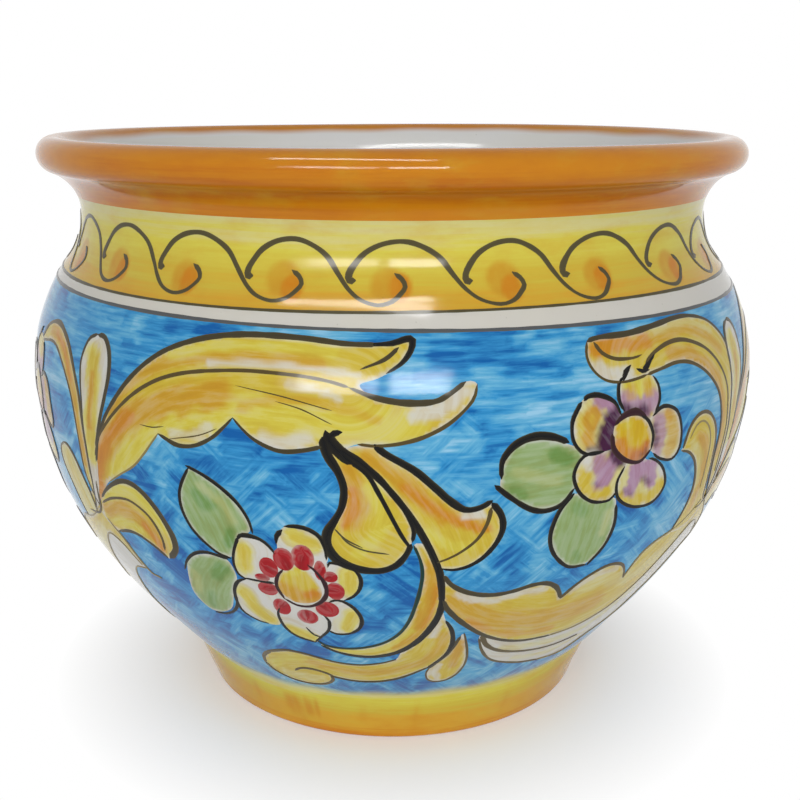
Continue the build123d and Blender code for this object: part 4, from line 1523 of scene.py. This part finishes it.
            Line([(29, 123.8), (30.4, 126), (32.4, 126.8), (34.4, 124.8)], (1.3, 2.6, 3.0, 1.5),
                 Paint.MAROON),
        ))

    def right_green_leaves(self) -> Motif:
        """Two green leaves beside the plum flower.

        Returns:
            Its fills and lines.
        """
        upper = [(13.3, 111.6), (13.7, 117.8), (15.6, 121.9), (18.5, 122.8), (21.6, 121), (24.3, 117.4),
                 (23.7, 110.7), (23.7, 106.5), (21.7, 102.4), (18.9, 101.8), (16, 104.8), (13.7, 108.8)]
        lower = [(23.8, 105.1), (21.9, 100), (21.2, 92.8), (22.3, 86.2), (25.2, 80.3), (28.2, 79.5),
                 (30.5, 84.9), (31.2, 91.7), (30.9, 98.7), (30.2, 101.5), (27, 101.6)]
        return Motif((
            Fill(upper, Paint.SAGE, [(14, 112), (24, 113)], (
                Dab(Paint.GREEN, 5.0, [(20.6, 117.4), (22, 115.6)], 0.75),
                Dab(Paint.GREEN, 4.0, [(15, 108.4), (16.4, 106.6)], 0.6),
                Dab(Paint.CREAM, 4.0, [(15.4, 114), (18, 112), (21, 110)], 0.25)), 0.2),
            Fill(lower, Paint.SAGE, [(27, 102), (26, 81)], (
                Dab(Paint.GREEN, 4.0, [(24.4, 100.6), (25.6, 98.6)], 0.45),
                Dab(Paint.GREEN, 3.4, [(26, 84.5), (26.4, 82)], 0.4),
                Dab(Paint.CREAM, 3.0, [(29.8, 97), (29.6, 90)], 0.35)), 0.2),
        ), (
            Line([(13.4, 112.3), (13.5, 117.7), (15.2, 122), (17.6, 123.7), (20.1, 123), (22.3, 120.9)],
                 (1.3, 2.0, 2.6, 2.7, 2.5, 1.9)),
            Line([(12.6, 110.6), (15.1, 105.9), (17.7, 102.1), (19.9, 101), (22.1, 102.5), (23.6, 106.9)],
                 (1.7, 1.7, 2.1, 1.7, 1.3)),
            Line([(23.7, 105.3), (21.8, 100), (21.1, 92.8), (22.2, 86), (25.2, 80), (28.4, 79.2)],
                 (1.5, 1.7, 1.6, 1.5, 1.4, 1.0)),
            Line([(30.9, 99), (31.4, 91.7), (30.7, 84.8), (28.6, 79)], (1.3, 1.5, 1.4, 1.0)),
        ))

    def right_curl(self) -> Motif:
        """The wide curl of the front, with the small curl inside it.

        Returns:
            Its fills and lines.
        """
        top = [(26, 147.3), (28, 148), (33, 148), (38, 148.9), (43, 149.8), (47, 149.4), (51, 147.2),
               (54, 143), (55.7, 138.5), (56.2, 132)]
        outer = [(42.6, 111.6), (43.7, 117), (45.3, 120), (47.3, 120.8), (49.3, 119.3), (51, 115.5),
                 (52, 110), (52.5, 103), (52.8, 96), (53.6, 90), (54.8, 87)]
        inner = [(42.3, 111), (44.5, 109.3), (46.5, 105.5), (47.8, 100), (48.2, 94), (47.8, 88), (47, 83.5),
                 (46.3, 80.8)]
        stem = [(56.4, 122), (56.4, 112), (56.2, 102), (55.6, 94), (54.9, 88)]
        return Motif((
            Fill(top + stem + self.curl_under + self.curl_tip[1:-1], Paint.YELLOW, self.curl_spine, (
                Dab(Paint.OCHRE, 4.4, [(40, 140.8), (45, 139), (49, 134), (52, 127), (53.6, 117), (54, 104)]),
                Dab(Paint.OCHRE, 4.0, [(37, 145.4), (43, 146.4), (49, 144), (53, 137.6)], 0.7),
                Dab(Paint.ORANGE, 5.0, [(27.2, 145), (31, 145.6), (36, 145.2)], 0.8),
                Dab(Paint.CREAM, 2.4, [(38, 147.4), (46, 147.8), (51.4, 144)], 0.6),
                Dab(Paint.WHITE, 4.4, [(27.2, 140.6), (29, 138.4), (32, 137.6)])), 0.4, 2),
            Fill(outer + [(54, 82), (50, 79.6)] + inner[::-1], Paint.YELLOW,
                 [(44, 114), (47, 116), (50, 108), (50.4, 94), (50.5, 84)], (
                Dab(Paint.OCHRE, 4.0, [(46.5, 114), (49.4, 108), (50, 97), (50, 87)], 0.8),
                Dab(Paint.CREAM, 3.0, [(45, 112), (47.8, 105.5), (49, 97)], 0.6)), 0.4, 2),
        ), (
            Line(top, (1.6, 2.2, 2.0, 1.7, 1.4, 1.2, 1.0), Paint.SEPIA),
            Line(self.curl_spine, (1.4, 1.9, 1.6, 1.4, 1.2, 1.0, 0.9), Paint.UMBER),
            Line(self.curl_under, (0.8, 0.9, 1.0, 1.2, 1.4, 1.2), Paint.UMBER),
            Line(self.curl_tip, (1.2, 1.0, 0.9, 1.0), Paint.UMBER),
            Line([(27, 147), (28, 144), (30, 142), (33, 141.5), (34.6, 142)], (1.8, 1.6, 1.4, 0.8),
                 Paint.UMBER),
            Line([(33.2, 138.6), (34.2, 137.6), (35.5, 137.6)], (1.0, 1.8, 1.2)),
            Line(outer, (1.0, 1.5, 1.4, 1.2, 1.0), Paint.UMBER),
            Line(inner, (0.9, 1.2, 1.2, 1.0, 0.7), Paint.UMBER),
            Line([(44, 114), (45.5, 117.5), (47.3, 118), (49, 115.5), (50.2, 110), (50.6, 102), (50.7, 94)],
                 (0.7, 1.0, 0.9, 0.7), Paint.FAINT),
        ))

    def narrow_curl(self) -> Motif:
        """The plainer curl of the other repeats, with a small leaf beside it.

        Returns:
            Its fills and lines.
        """
        left = [(46, 107), (43.9, 104.5), (43.4, 100), (44.2, 94.2), (45.2, 88), (46.2, 81.4)]
        right = [(46, 107), (48.1, 106.4), (50.3, 103), (51.6, 98.4), (52.5, 93.6), (52.8, 89.6),
                 (52.7, 86.3)]
        stem = [(55, 94), (54.6, 88)]
        shade = [(40, 141), (45, 140), (49.4, 135.4), (52.4, 127), (53.6, 117), (54, 104)]
        return Motif((
            Fill(self.curl_spine + stem + self.curl_under, Paint.YELLOW, self.curl_spine, (
                Dab(Paint.OCHRE, 4.0, shade),
                Dab(Paint.ORANGE, 2.6, [(43, 141), (48, 137.4), (51.6, 130)], 0.7)), 0.2, 2),
            Fill(left[::-1] + right[1:], Paint.CREAM, [(46, 106), (48, 96), (50, 85)], (
                Dab(Paint.YELLOW, 5.0, [(47, 103), (48.4, 95), (50, 86)], 0.7),), 0.2, 2),
        ), (
            Line(self.curl_spine, (1.4, 2.0, 1.6, 1.3, 1.1, 1.0), Paint.UMBER),
            Line(self.curl_under, (0.9, 0.9, 1.0, 1.1, 1.1, 0.9), Paint.UMBER),
            Line(left, (0.9, 1.1, 0.9, 0.7), Paint.UMBER),
            Line(right, (0.9, 1.2, 1.0, 0.8), Paint.UMBER),
        ))

    def motifs(self, front: bool) -> dict[str, tuple[Motif, ...]]:
        """Gathers the motifs of a repeat, by the name of the piece that they go into.

        Args:
            front: Whether it is the front repeat, or one of the others.

        Returns:
            The motifs, by name.
        """
        curl = self.right_curl() if front else self.narrow_curl()
        return {"scroll_leaves": (self.scroll(), self.low_leaf(), self.double_leaf()),
                "shoulder_leaves": (self.bud_leaf(), self.great_leaf(), curl, self.horn_leaf()),
                "green_leaves": (self.left_green_leaves(), self.right_green_leaves()),
                "red_flowers": (self.red_flower(),),
                "plum_flowers": (self.plum_flower(),)}

    def build(self, form: PotForm, wash: bpy.types.Material,
              ink: bpy.types.Material) -> list[bpy.types.Object]:
        """Paints every repeat on the belly.

        Args:
            form: The pot.
            wash: Finish of the filled shapes.
            ink: Finish of the lines.

        Returns:
            The painted pieces.
        """
        pieces = []
        front, behind = self.motifs(True), self.motifs(False)
        for name in front:
            washes = PaintLayer(form, f"{name}_wash", "blue_glaze", self.layers)
            lines = PaintLayer(form, f"{name}_lines", "blue_glaze")
            for number, repeat in enumerate(self.repeats):
                for motif in (behind if number else front)[name]:
                    for shape in motif.fills:
                        washes.fill(shape, repeat)
                    for stroke in motif.lines:
                        lines.line(stroke, repeat)
            pieces += [washes.build(wash), lines.build(ink)]
        return pieces


@dataclass(frozen=True)
class Spot:
    """A soft oval spot: its angle from a wave's start and its width in degrees, its heights in mm."""

    turn: float
    rise: float
    wide: float
    tall: float


@dataclass(frozen=True)
class NeckPainting:
    """The wave scroll on the yellow band, and the two dark lines on the shoulder."""

    front_starts: tuple[float, ...] = (-53, -37, -20.8, -5.7, 10.7, 25.8, 43)
    waves: int = 23
    upper_line: float = 156.8
    lower_line: float = 152.4
    lower_tilt: float = 1.5
    upper_waver: float = 0.25
    ring_points: int = 37
    ring_widths: int = 60
    dot: Spot = Spot(5.2, 164.0, 5.4, 10.0)
    core: Spot = Spot(6.4, 162.8, 3.4, 7.5)
    wave: ClassVar[Points] = [
        (0.6, 164.9), (-0.3, 164.9), (-0.4, 166.6), (0.3, 169), (1.8, 172.2), (4.3, 174.6), (7.2, 175.3),
        (9.7, 174), (12.2, 171), (14, 166.5), (15.7, 162.5), (17.7, 159.7), (20.2, 158.5), (22.2, 159.3),
        (23.5, 161.2), (24.2, 163), (23.7, 165), (22.6, 166.5)]
    wave_step: ClassVar[float] = 16.2   # from one wave to the next, as the wave is drawn
    wave_widths: ClassVar[tuple[float, ...]] = (2.3, 1.9, 1.6, 1.5, 1.6, 1.7, 1.4, 1.2, 1.3, 1.5, 1.6)

    def starts(self) -> list[float]:
        """Where each wave starts, given one by one in front and spaced evenly behind.

        Returns:
            Angles, in degrees.
        """
        rest = self.waves - len(self.front_starts)
        step = (360 + self.front_starts[0] - self.front_starts[-1]) / (rest + 1)
        return list(self.front_starts) + [self.front_starts[-1] + step * (i + 1) for i in range(rest)]

    def lower_height(self, angle: np.ndarray) -> np.ndarray:
        """Height of the lower line, which runs slightly aslant, in mm."""
        return self.lower_line - self.lower_tilt * np.sin(angle)

    def scroll(self) -> list[Line]:
        """Draws the waves, each a rise, a fall and a hooked end.

        Returns:
            One line for each wave.
        """
        rng = np.random.default_rng(5)
        lines, starts = [], self.starts()
        for start, after in zip(starts, starts[1:] + [starts[0] + 360]):
            stretch, sink = (after - start) / self.wave_step, rng.uniform(-0.7, 0.7)
            points = [(start + turn * stretch, height + sink) for turn, height in self.wave]
            lines.append(Line(points, self.wave_widths, Paint.OLIVE))
        return lines

    def rings(self) -> list[Line]:
        """Draws the two lines round the shoulder.

        Returns:
            The upper line and the lower line.
        """
        rng = np.random.default_rng(8)
        turns = np.linspace(-180, 180, self.ring_points)
        wavers = [self.upper_waver * math.sin(math.radians(3 * turn)) for turn in turns]
        upper = [(turn, self.upper_line + waver) for turn, waver in zip(turns, wavers)]
        lower = [(turn, float(self.lower_height(math.radians(turn)))) for turn in turns]
        return [Line(upper, tuple(rng.uniform(0.8, 1.3, self.ring_widths)), Paint.OLIVE, 0.8),
                Line(lower, tuple(rng.uniform(0.9, 1.4, self.ring_widths)), Paint.SLATE, 0.9)]

    def spots(self, angle: np.ndarray, height: np.ndarray, spot: Spot) -> np.ndarray:
        """Soft oval spots beside the start of each wave.

        Args:
            angle: Angles round the pot, in radians.
            height: Heights, in mm.
            spot: Place and size of one spot.

        Returns:
            How much of the spot's paint each place has.
        """
        rng = np.random.default_rng(int(spot.turn * 10))
        total = np.zeros(angle.shape)
        for start in self.starts():
            off = (np.degrees(angle) - start - spot.turn - rng.uniform(-0.4, 0.4) + 180) % 360 - 180
            up = height - spot.rise - rng.uniform(-0.7, 0.7)
            far = (2 * off / spot.wide) ** 2 + (2 * up / spot.tall) ** 2
            total = np.maximum(total, 1 - smooth(far, 0.45, 1.25))
        return total

    def build(self, form: PotForm, ink: bpy.types.Material) -> list[bpy.types.Object]:
        """Makes the wave scroll and the shoulder lines.

        Args:
            form: The pot.
            ink: Finish of the lines.

        Returns:
            The two pieces.
        """
        pieces = []
        kinds = (("wave_scroll", "yellow_glaze", self.scroll()),
                 ("shoulder_lines", "white_glaze", self.rings()))
        for name, slot, lines in kinds:
            layer = PaintLayer(form, name, slot)
            for line in lines:
                layer.line(line, Repeat(0.0, 1.0, 0.0))
            pieces.append(layer.build(ink))
        return pieces


@dataclass(frozen=True)
class Stroke:
    """A kind of brush stroke in the blue ground: ranges of its size in mm, its depth and its cover."""

    count: int
    long: Pair
    wide: Pair
    depth: Pair
    cover: Pair


@dataclass
class GlazeCoats:
    """The six coats of glaze, from the foot up over the lip and down to the floor."""

    form: PotForm
    neck: NeckPainting
    foot_low: float = 0.6           # where the foot's glaze starts, along the section
    foot_edge: float = 23.0
    foot_wave: float = 1.35
    drip_turns: Pair = (-29.0, -18.0)
    front_drips: int = 5
    other_drips: int = 9
    drip_width: Pair = (0.7, 1.6)   # in degrees
    drip_end: Pair = (1.0, 8.0)
    drip_top: Pair = (15.0, 20.0)
    front_fullness: Pair = (0.6, 0.95)
    other_fullness: Pair = (0.15, 0.45)
    side_shade_top: Pair = (15.0, 22.0)   # painted shade: the foot is painted darker at its left and right sides, up to these heights
    orange_edge: float = 180.7
    turnover: float = 195.8
    turnover_fade: float = 3.0
    floor_gap: float = 0.02         # hole in the lining's middle, as a radius
    ground_depth: float = 0.48
    ground_cloud: float = 0.1
    cloud_size: float = 70.0
    stroke_shake: float = 0.14      # how far a stroke turns from its direction, in radians
    level_zone: Pair = (12.0, 60.0)     # under the stripe strokes run level, further down they lean
    most_leaning: float = 0.8
    shade_low: Pair = (24.0, 40.0)   # the blue is painted deeper between these heights: partly a deeper blue, partly painted shade on the lower belly
    shade_high: Pair = (60.0, 110.0)
    strokes: tuple[Stroke, ...] = (
        Stroke(850, (9.0, 24.0), (4.0, 8.0), (0.0, 1.0), (0.45, 0.9)),
        Stroke(700, (3.0, 8.0), (2.2, 4.6), (0.75, 1.15), (0.35, 0.85)),
        Stroke(600, (5.0, 14.0), (1.6, 3.2), (-0.1, 0.25), (0.3, 0.65)),
        Stroke(2200, (3.5, 10.0), (1.3, 2.4), (0.0, 1.1), (0.25, 0.7)),
        Stroke(150, (5.0, 13.0), (3.4, 6.4), (0.95, 1.25), (0.5, 0.9)),
    )

    def lip_values(self, angle: np.ndarray, run: np.ndarray) -> Values:
        """Rise through the orange band, which runs thin inside the lip.

        Args:
            angle: Angles round the pot, in radians.
            run: Lengths along the section, in mm.

        Returns:
            Rise and fade of the orange.
        """
        low, end = float(self.form.level(self.orange_edge)), self.form.inner_level(self.turnover)
        thin = self.form.inner_level(self.turnover + self.turnover_fade)
        waver = 0.4 * np.sin(5 * angle) + 0.3 * np.sin(17 * angle)
        return {"Rise": (run - low) / (thin - low), "Fade": smooth(run + waver, thin, end)}

    def neck_values(self, angle: np.ndarray, run: np.ndarray) -> Values:
        """Rise through the yellow band, and the orange spots between the waves.

        Args:
            angle: Angles round the pot, in radians.
            run: Lengths along the section, in mm.

        Returns:
            Rise of the yellow, and shares of the spots and their cores.
        """
        height = self.form.height(run)
        low, high = self.neck.upper_line, self.orange_edge
        return {"Rise": (height - low) / (high - low),
                "Dot": self.neck.spots(angle, height, self.neck.dot),
                "Core": self.neck.spots(angle, height, self.neck.core)}

    def foot_top(self, angle: np.ndarray) -> np.ndarray:
        """Height of the foot's painted edge, which wavers round the crease, in mm."""
        return self.foot_edge + self.foot_wave * np.sin(3 * angle)

    def foot_run(self, angle: np.ndarray) -> np.ndarray:
        """Length along the section up to the foot's painted edge, in mm."""
        return self.form.level(self.foot_top(angle))

    def stripe_run(self, angle: np.ndarray) -> np.ndarray:
        """Length along the section up to the lower edge of the stripe, in mm."""
        return self.form.level(self.neck.lower_height(angle))

    def foot_values(self, angle: np.ndarray, run: np.ndarray) -> Values:
        """Rise of the foot, the runs of darker glaze down it, and painted shade on its left and right sides.

        Args:
            angle: Angles round the pot, in radians.
            run: Lengths along the section, in mm.

        Returns:
            Rise of the yellow, lowered at the sides as painted shade, shares of the runs and of the painted
            side shade, and the runs' cores.
        """
        rng = np.random.default_rng(3)
        height = self.form.height(run)
        drips = np.zeros(run.shape)
        turns = [*rng.uniform(*self.drip_turns, self.front_drips), *rng.uniform(-180, 180, self.other_drips)]
        for number, turn in enumerate(turns):
            off = (np.degrees(angle) - turn + 180) % 360 - 180
            wide, end = rng.uniform(*self.drip_width), rng.uniform(*self.drip_end)
            full = rng.uniform(*(self.front_fullness if number < self.front_drips else self.other_fullness))
            drip = np.exp(-(off / wide) ** 2) * smooth(height, end - 3, end + 3)
            drips = np.maximum(drips, drip * (1 - smooth(height, *self.drip_top)) * full)
        # painted shade: the foot's left and right sides are painted darker and more orange
        side = smooth(np.abs(np.sin(angle)), 0.5, 0.95)
        dark = np.maximum(drips, 0.6 * side * (1 - smooth(height, *self.side_shade_top)))
        rise = height / self.foot_top(angle) * (1 - 0.3 * side)
        return {"Rise": rise, "Dot": dark, "Core": 0.7 * drips}

    def ground_values(self, angle: np.ndarray, run: np.ndarray) -> Values:
        """Lays the short overlapping strokes of the blue ground.

        Args:
            angle: Angles round the pot, in radians, the same down each column.
            run: Lengths along the section, in mm.

        Returns:
            Depth of the blue, flat places for the bristle marks, shares of the strokes' directions, and the
            fade above the foot.
        """
        rng = np.random.default_rng(21)
        flat = np.stack([angle * SHEET_RADIUS, run, 0 * run], -1)
        clouds = ripple(flat[..., :2].reshape(-1, 2), self.cloud_size, 4).reshape(run.shape)
        wash = self.ground_depth + self.ground_cloud * clouds
        turns = np.tile((0.6, 0.2, 0.2), (*run.shape, 1))
        columns, girth = run.shape[1], FULL_TURN * SHEET_RADIUS
        low, high = run.min(), run.max()
        level, leaning = (high - depth for depth in self.level_zone)
        for stroke in self.strokes:
            for _ in range(stroke.count):
                middle = rng.uniform(0, girth), rng.uniform(low, high)
                long, wide = rng.uniform(*stroke.long), rng.uniform(*stroke.wide)
                lean = self.most_leaning * float(smooth(np.array(middle[1]), level, leaning))
                kind = rng.choice(3, p=[1 - lean, lean / 2, lean / 2])
                turn = STROKE_TURNS[kind] + rng.normal(0, self.stroke_shake)
                depth, cover = rng.uniform(*stroke.depth), rng.uniform(*stroke.cover)
                reach = int((long + wide) / girth * columns) + 1
                pick = np.arange(-reach, reach + 1) + int(middle[0] / girth * columns)
                across = (pick / columns * girth - middle[0])[None]
                pick = pick % columns
                up = run[:, pick] - middle[1]
                along = across * math.cos(turn) + up * math.sin(turn)
                aside = up * math.cos(turn) - across * math.sin(turn)
                share = 1 - smooth(np.abs(along), 0.5 * long, long)
                share = share * (1 - smooth(np.abs(aside), 0.45 * wide, wide))
                turns[:, pick] += (np.eye(3)[kind] - turns[:, pick]) * share[..., None]
                flat[:, pick, 2] += (rng.uniform(0, 4) - flat[:, pick, 2]) * share
                bristles = np.sin(aside * rng.uniform(1.0, 2.4) + rng.uniform(0, 6))
                share = share * cover * (0.8 + 0.2 * bristles)
                wash[:, pick] += (depth - wash[:, pick]) * share
        height = self.form.height(run)
        # partly painted shade: the lower belly's blue is painted deeper
        wash += 0.1 * (1 - smooth(height, *self.shade_high)) * smooth(height, *self.shade_low)
        # The blue fades to cream just above the foot: a soft paint edge, partly a painted highlight along the
        # crease.
        fade = 1 - smooth(height - self.foot_top(angle) + 0.5 * np.sin(23 * angle), -0.3, 4.5)
        return {"Wash": wash, "Bristle": flat, "Turns": turns, "Fade": fade}

    def build(self) -> list[bpy.types.Object]:
        """Makes the six coats with their finishes.

        Returns:
            The pieces, from the foot to the lining.
        """
        form, neck = self.form, self.neck
        stripe_top, orange_low = float(form.level(neck.upper_line)), float(form.level(self.orange_edge))
        lip_end, floor_end = form.inner_level(self.turnover), float(form.run[-1]) - self.floor_gap
        # The cream at the top of the foot is partly a painted highlight where its top faces up.
        foot = BrushedBand("foot_ochre_glaze", streak=0.09, deep=Paint.ORANGE, stops=(
            (0.0, Paint.ORANGE), (0.2, Paint.HONEY), (0.5, Paint.HONEY),
            (0.7, Paint.YELLOW), (0.88, Paint.LEMON), (1.0, Paint.CREAM)))
        band = BrushedBand("neck_yellow_glaze", streak=0.2, deep=Paint.OCHRE, stops=(
            (0.0, Paint.HONEY), (0.3, Paint.YELLOW), (0.68, Paint.LEMON), (1.0, Paint.CREAM)))
        # The rust band lies in the hollow under the roll: partly a deeper orange, partly painted shade in the
        # hollow.
        lip = BrushedBand("lip_orange_glaze", streak=0.2, mottle=0.45, thin=Paint.OCHRE, stops=(
            (0.0, Paint.ORANGE), (0.3, Paint.RUST), (0.6, Paint.ORANGE)))
        coats = (
            (GlazeCoat(form, "glazed_foot", "foot_glaze", "ochre_glaze", self.foot_low, self.foot_run,
                       360, 40, values=self.foot_values), foot),
            (GlazeCoat(form, "glazed_belly", "belly_glaze", "blue_glaze", self.foot_run, self.stripe_run,
                       660, 120, values=self.ground_values), BrushedGround("belly_blue_glaze")),
            (GlazeCoat(form, "glazed_shoulder_stripe", "shoulder_glaze", "white_glaze", self.stripe_run,
                       stripe_top, 360, 7, 4), WhiteGlaze("white_tin_glaze")),
            (GlazeCoat(form, "glazed_neck", "neck_glaze", "yellow_glaze", stripe_top, orange_low,
                       720, 40, 8, self.neck_values), band),
            (GlazeCoat(form, "glazed_lip", "lip_glaze", "orange_glaze", orange_low, lip_end,
                       360, 64, 20, self.lip_values), lip),
            (GlazeCoat(form, "glazed_lining", "lining_glaze", "white_glaze", lip_end, floor_end,
                       240, 120, 40), WhiteGlaze("white_lining_glaze", base=Paint.MILK)),
        )
        return [coat.build(finish.material()) for coat, finish in coats]


@dataclass
class ClayBody:
    """The thrown and turned clay sections, which the frame already has in shape."""

    nodes: tuple[str, ...] = ("foot_ring", "thrown_bowl", "neck_collar", "rolled_lip")

    def dress(self, nodes: dict[str, bpy.types.Object]) -> list[str]:
        """Gives the clay sections their bare fired finish.

        Args:
            nodes: Objects of the frame, by name.

        Returns:
            Names of the sections.
        """
        clay = BareClay().material()
        for name in self.nodes:
            for place in nodes[name].material_slots:
                place.material = clay
        return list(self.nodes)


def seen_or_mirrored(tree: bpy.types.NodeTree) -> Socket:
    """Tells camera rays, mirrored rays and rays through glass from the rays that only carry light.

    Args:
        tree: Nodes of a material or a world.

    Returns:
        1 for what is seen, 0 for light.
    """
    path = tree.nodes.new("ShaderNodeLightPath")
    share = path.outputs["Is Camera Ray"]
    for name in ("Is Glossy Ray", "Is Transmission Ray"):
        most = tree.nodes.new("ShaderNodeMath")
        most.operation = "MAXIMUM"
        tree.links.new(share, most.inputs[0])
        tree.links.new(path.outputs[name], most.inputs[1])
        share = most.outputs[0]
    return share


@dataclass(frozen=True)
class Lamp:
    """A soft lamp as wide and tall as a window, in metres and watts, which may show only in the gloss."""

    name: str
    place: Triple
    wide: float
    tall: float
    power: float
    only_on_gloss: bool = False

    def hang(self, aim: Triple) -> None:
        """Hangs the lamp in its place, turned to what it lights.

        Args:
            aim: Point that the lamp faces.
        """
        light = bpy.data.lights.new(self.name, "AREA")
        light.shape = "RECTANGLE"
        light.size, light.size_y = self.wide, self.tall
        light.energy = self.power
        lamp = bpy.data.objects.new(self.name, light)
        lamp.location = self.place
        lamp.visible_diffuse = not self.only_on_gloss
        lamp.rotation_euler = (Vector(aim) - Vector(self.place)).to_track_quat("-Z", "Y").to_euler()
        bpy.context.scene.collection.objects.link(lamp)


@dataclass
class Studio:
    """Plain white table, even soft light, soft lamps and the camera."""

    world_light: float = 0.31
    lamps: tuple[Lamp, ...] = (
        Lamp("right_window", (0.32, -2.4, 1.0), 0.75, 0.36, 27.0),
        Lamp("left_window", (-0.95, -2.2, 1.0), 0.9, 0.4, 7.5),
        Lamp("left_pane", (-0.72, -2.4, 1.0), 1.05, 0.36, 24.0, True),
        Lamp("ceiling_row", (-0.33, -0.98, 2.1), 1.5, 0.26, 38.0, True),
    )
    aim: Triple = (0.0, 0.0, 0.12)
    camera_place: Triple = (0.0, -0.4210, 0.21454)
    camera_pitch: float = 15.083
    lens: float = 51.72
    shift: float = 0.009375
    clip_start: float = 0.01
    table_size: float = 12.0
    shadow_rings: Pair = (0.075, 0.13)   # radii from which the table starts to glow, and glows fully
    shadow_glow: float = 0.3

    def build(self) -> None:
        """Sets up the room round the pot."""
        bpy.context.scene.view_settings.view_transform = "Standard"
        self.table()
        self.room()
        for lamp in self.lamps:
            lamp.hang(self.aim)
        view = bpy.data.cameras.new("photo_camera")
        view.lens = self.lens
        view.shift_x = self.shift
        view.clip_start = self.clip_start
        camera = bpy.data.objects.new(view.name, view)
        camera.location = self.camera_place
        camera.rotation_euler = (math.radians(90 - self.camera_pitch), 0, 0)
        bpy.context.scene.collection.objects.link(camera)
        bpy.context.scene.camera = camera

    def table(self) -> None:
        """A wide white table top, which keeps the pot's soft shadow."""
        bpy.ops.mesh.primitive_plane_add(size=self.table_size)
        top = bpy.context.object
        top.name = "table_top"
        nodes = Nodes("white_table")
        place = nodes.place()
        cloud = nodes.fit(nodes.noise(place, Grain(3.0, 2.0)), 0.3, 0.7, 0.0, 0.03)
        nodes.finish(nodes.mix(cloud, (0.95, 0.95, 0.95, 1.0), (0.9, 0.9, 0.89, 1.0)), 0.9, cloud, 0.01)
        far = nodes.add("ShaderNodeVectorMath", {0: place}, operation="LENGTH").outputs["Value"]
        glow = nodes.add("ShaderNodeEmission", {"Color": ALL_WHITE, "Strength": 1.0})
        share = nodes.fit(far, *self.shadow_rings, self.shadow_glow, 1.0)
        share = nodes.math("MULTIPLY", share, seen_or_mirrored(nodes.tree))
        both = nodes.add("ShaderNodeMixShader", {0: share, 1: nodes.shader.outputs[0], 2: glow.outputs[0]})
        nodes.tree.links.new(both.outputs[0], nodes.output.inputs[0])
        top.data.materials.append(nodes.material)

    def room(self) -> None:
        """Even light from all round, white where it is seen or mirrored."""
        world = bpy.data.worlds.new("white_room")
        world.use_nodes = True
        tree = world.node_tree
        light = next(node for node in tree.nodes if node.type == "BACKGROUND")
        light.inputs[0].default_value = ALL_WHITE
        light.inputs[1].default_value = self.world_light
        seen = tree.nodes.new("ShaderNodeBackground")
        seen.inputs[0].default_value = ALL_WHITE
        mix = tree.nodes.new("ShaderNodeMixShader")
        tree.links.new(seen_or_mirrored(tree), mix.inputs[0])
        tree.links.new(light.outputs[0], mix.inputs[1])
        tree.links.new(seen.outputs[0], mix.inputs[2])
        output = next(node for node in tree.nodes if node.type == "OUTPUT_WORLD")
        tree.links.new(mix.outputs[0], output.inputs[0])
        bpy.context.scene.world = world


def main() -> None:
    """Dresses the cachepot, piece by piece, and sets it in the studio."""
    logging.basicConfig(level=logging.INFO, format="%(name)s: %(message)s")
    form, neck = PotForm(), NeckPainting()
    for name in ClayBody().dress(frame["nodes"]):
        LOG.info("bare clay on %s", name)
    ink = BrushInk("outline_paint").material()
    wash = PaintedWash("thin_colour_wash").material()
    pieces = GlazeCoats(form, neck).build()
    pieces += neck.build(form, ink)
    pieces += BellyPainting().build(form, wash, ink)
    for piece in pieces:
        LOG.info("%s: %d points", piece.name, len(piece.data.vertices))
    Studio().build()


if __name__ == "__main__":
    main()
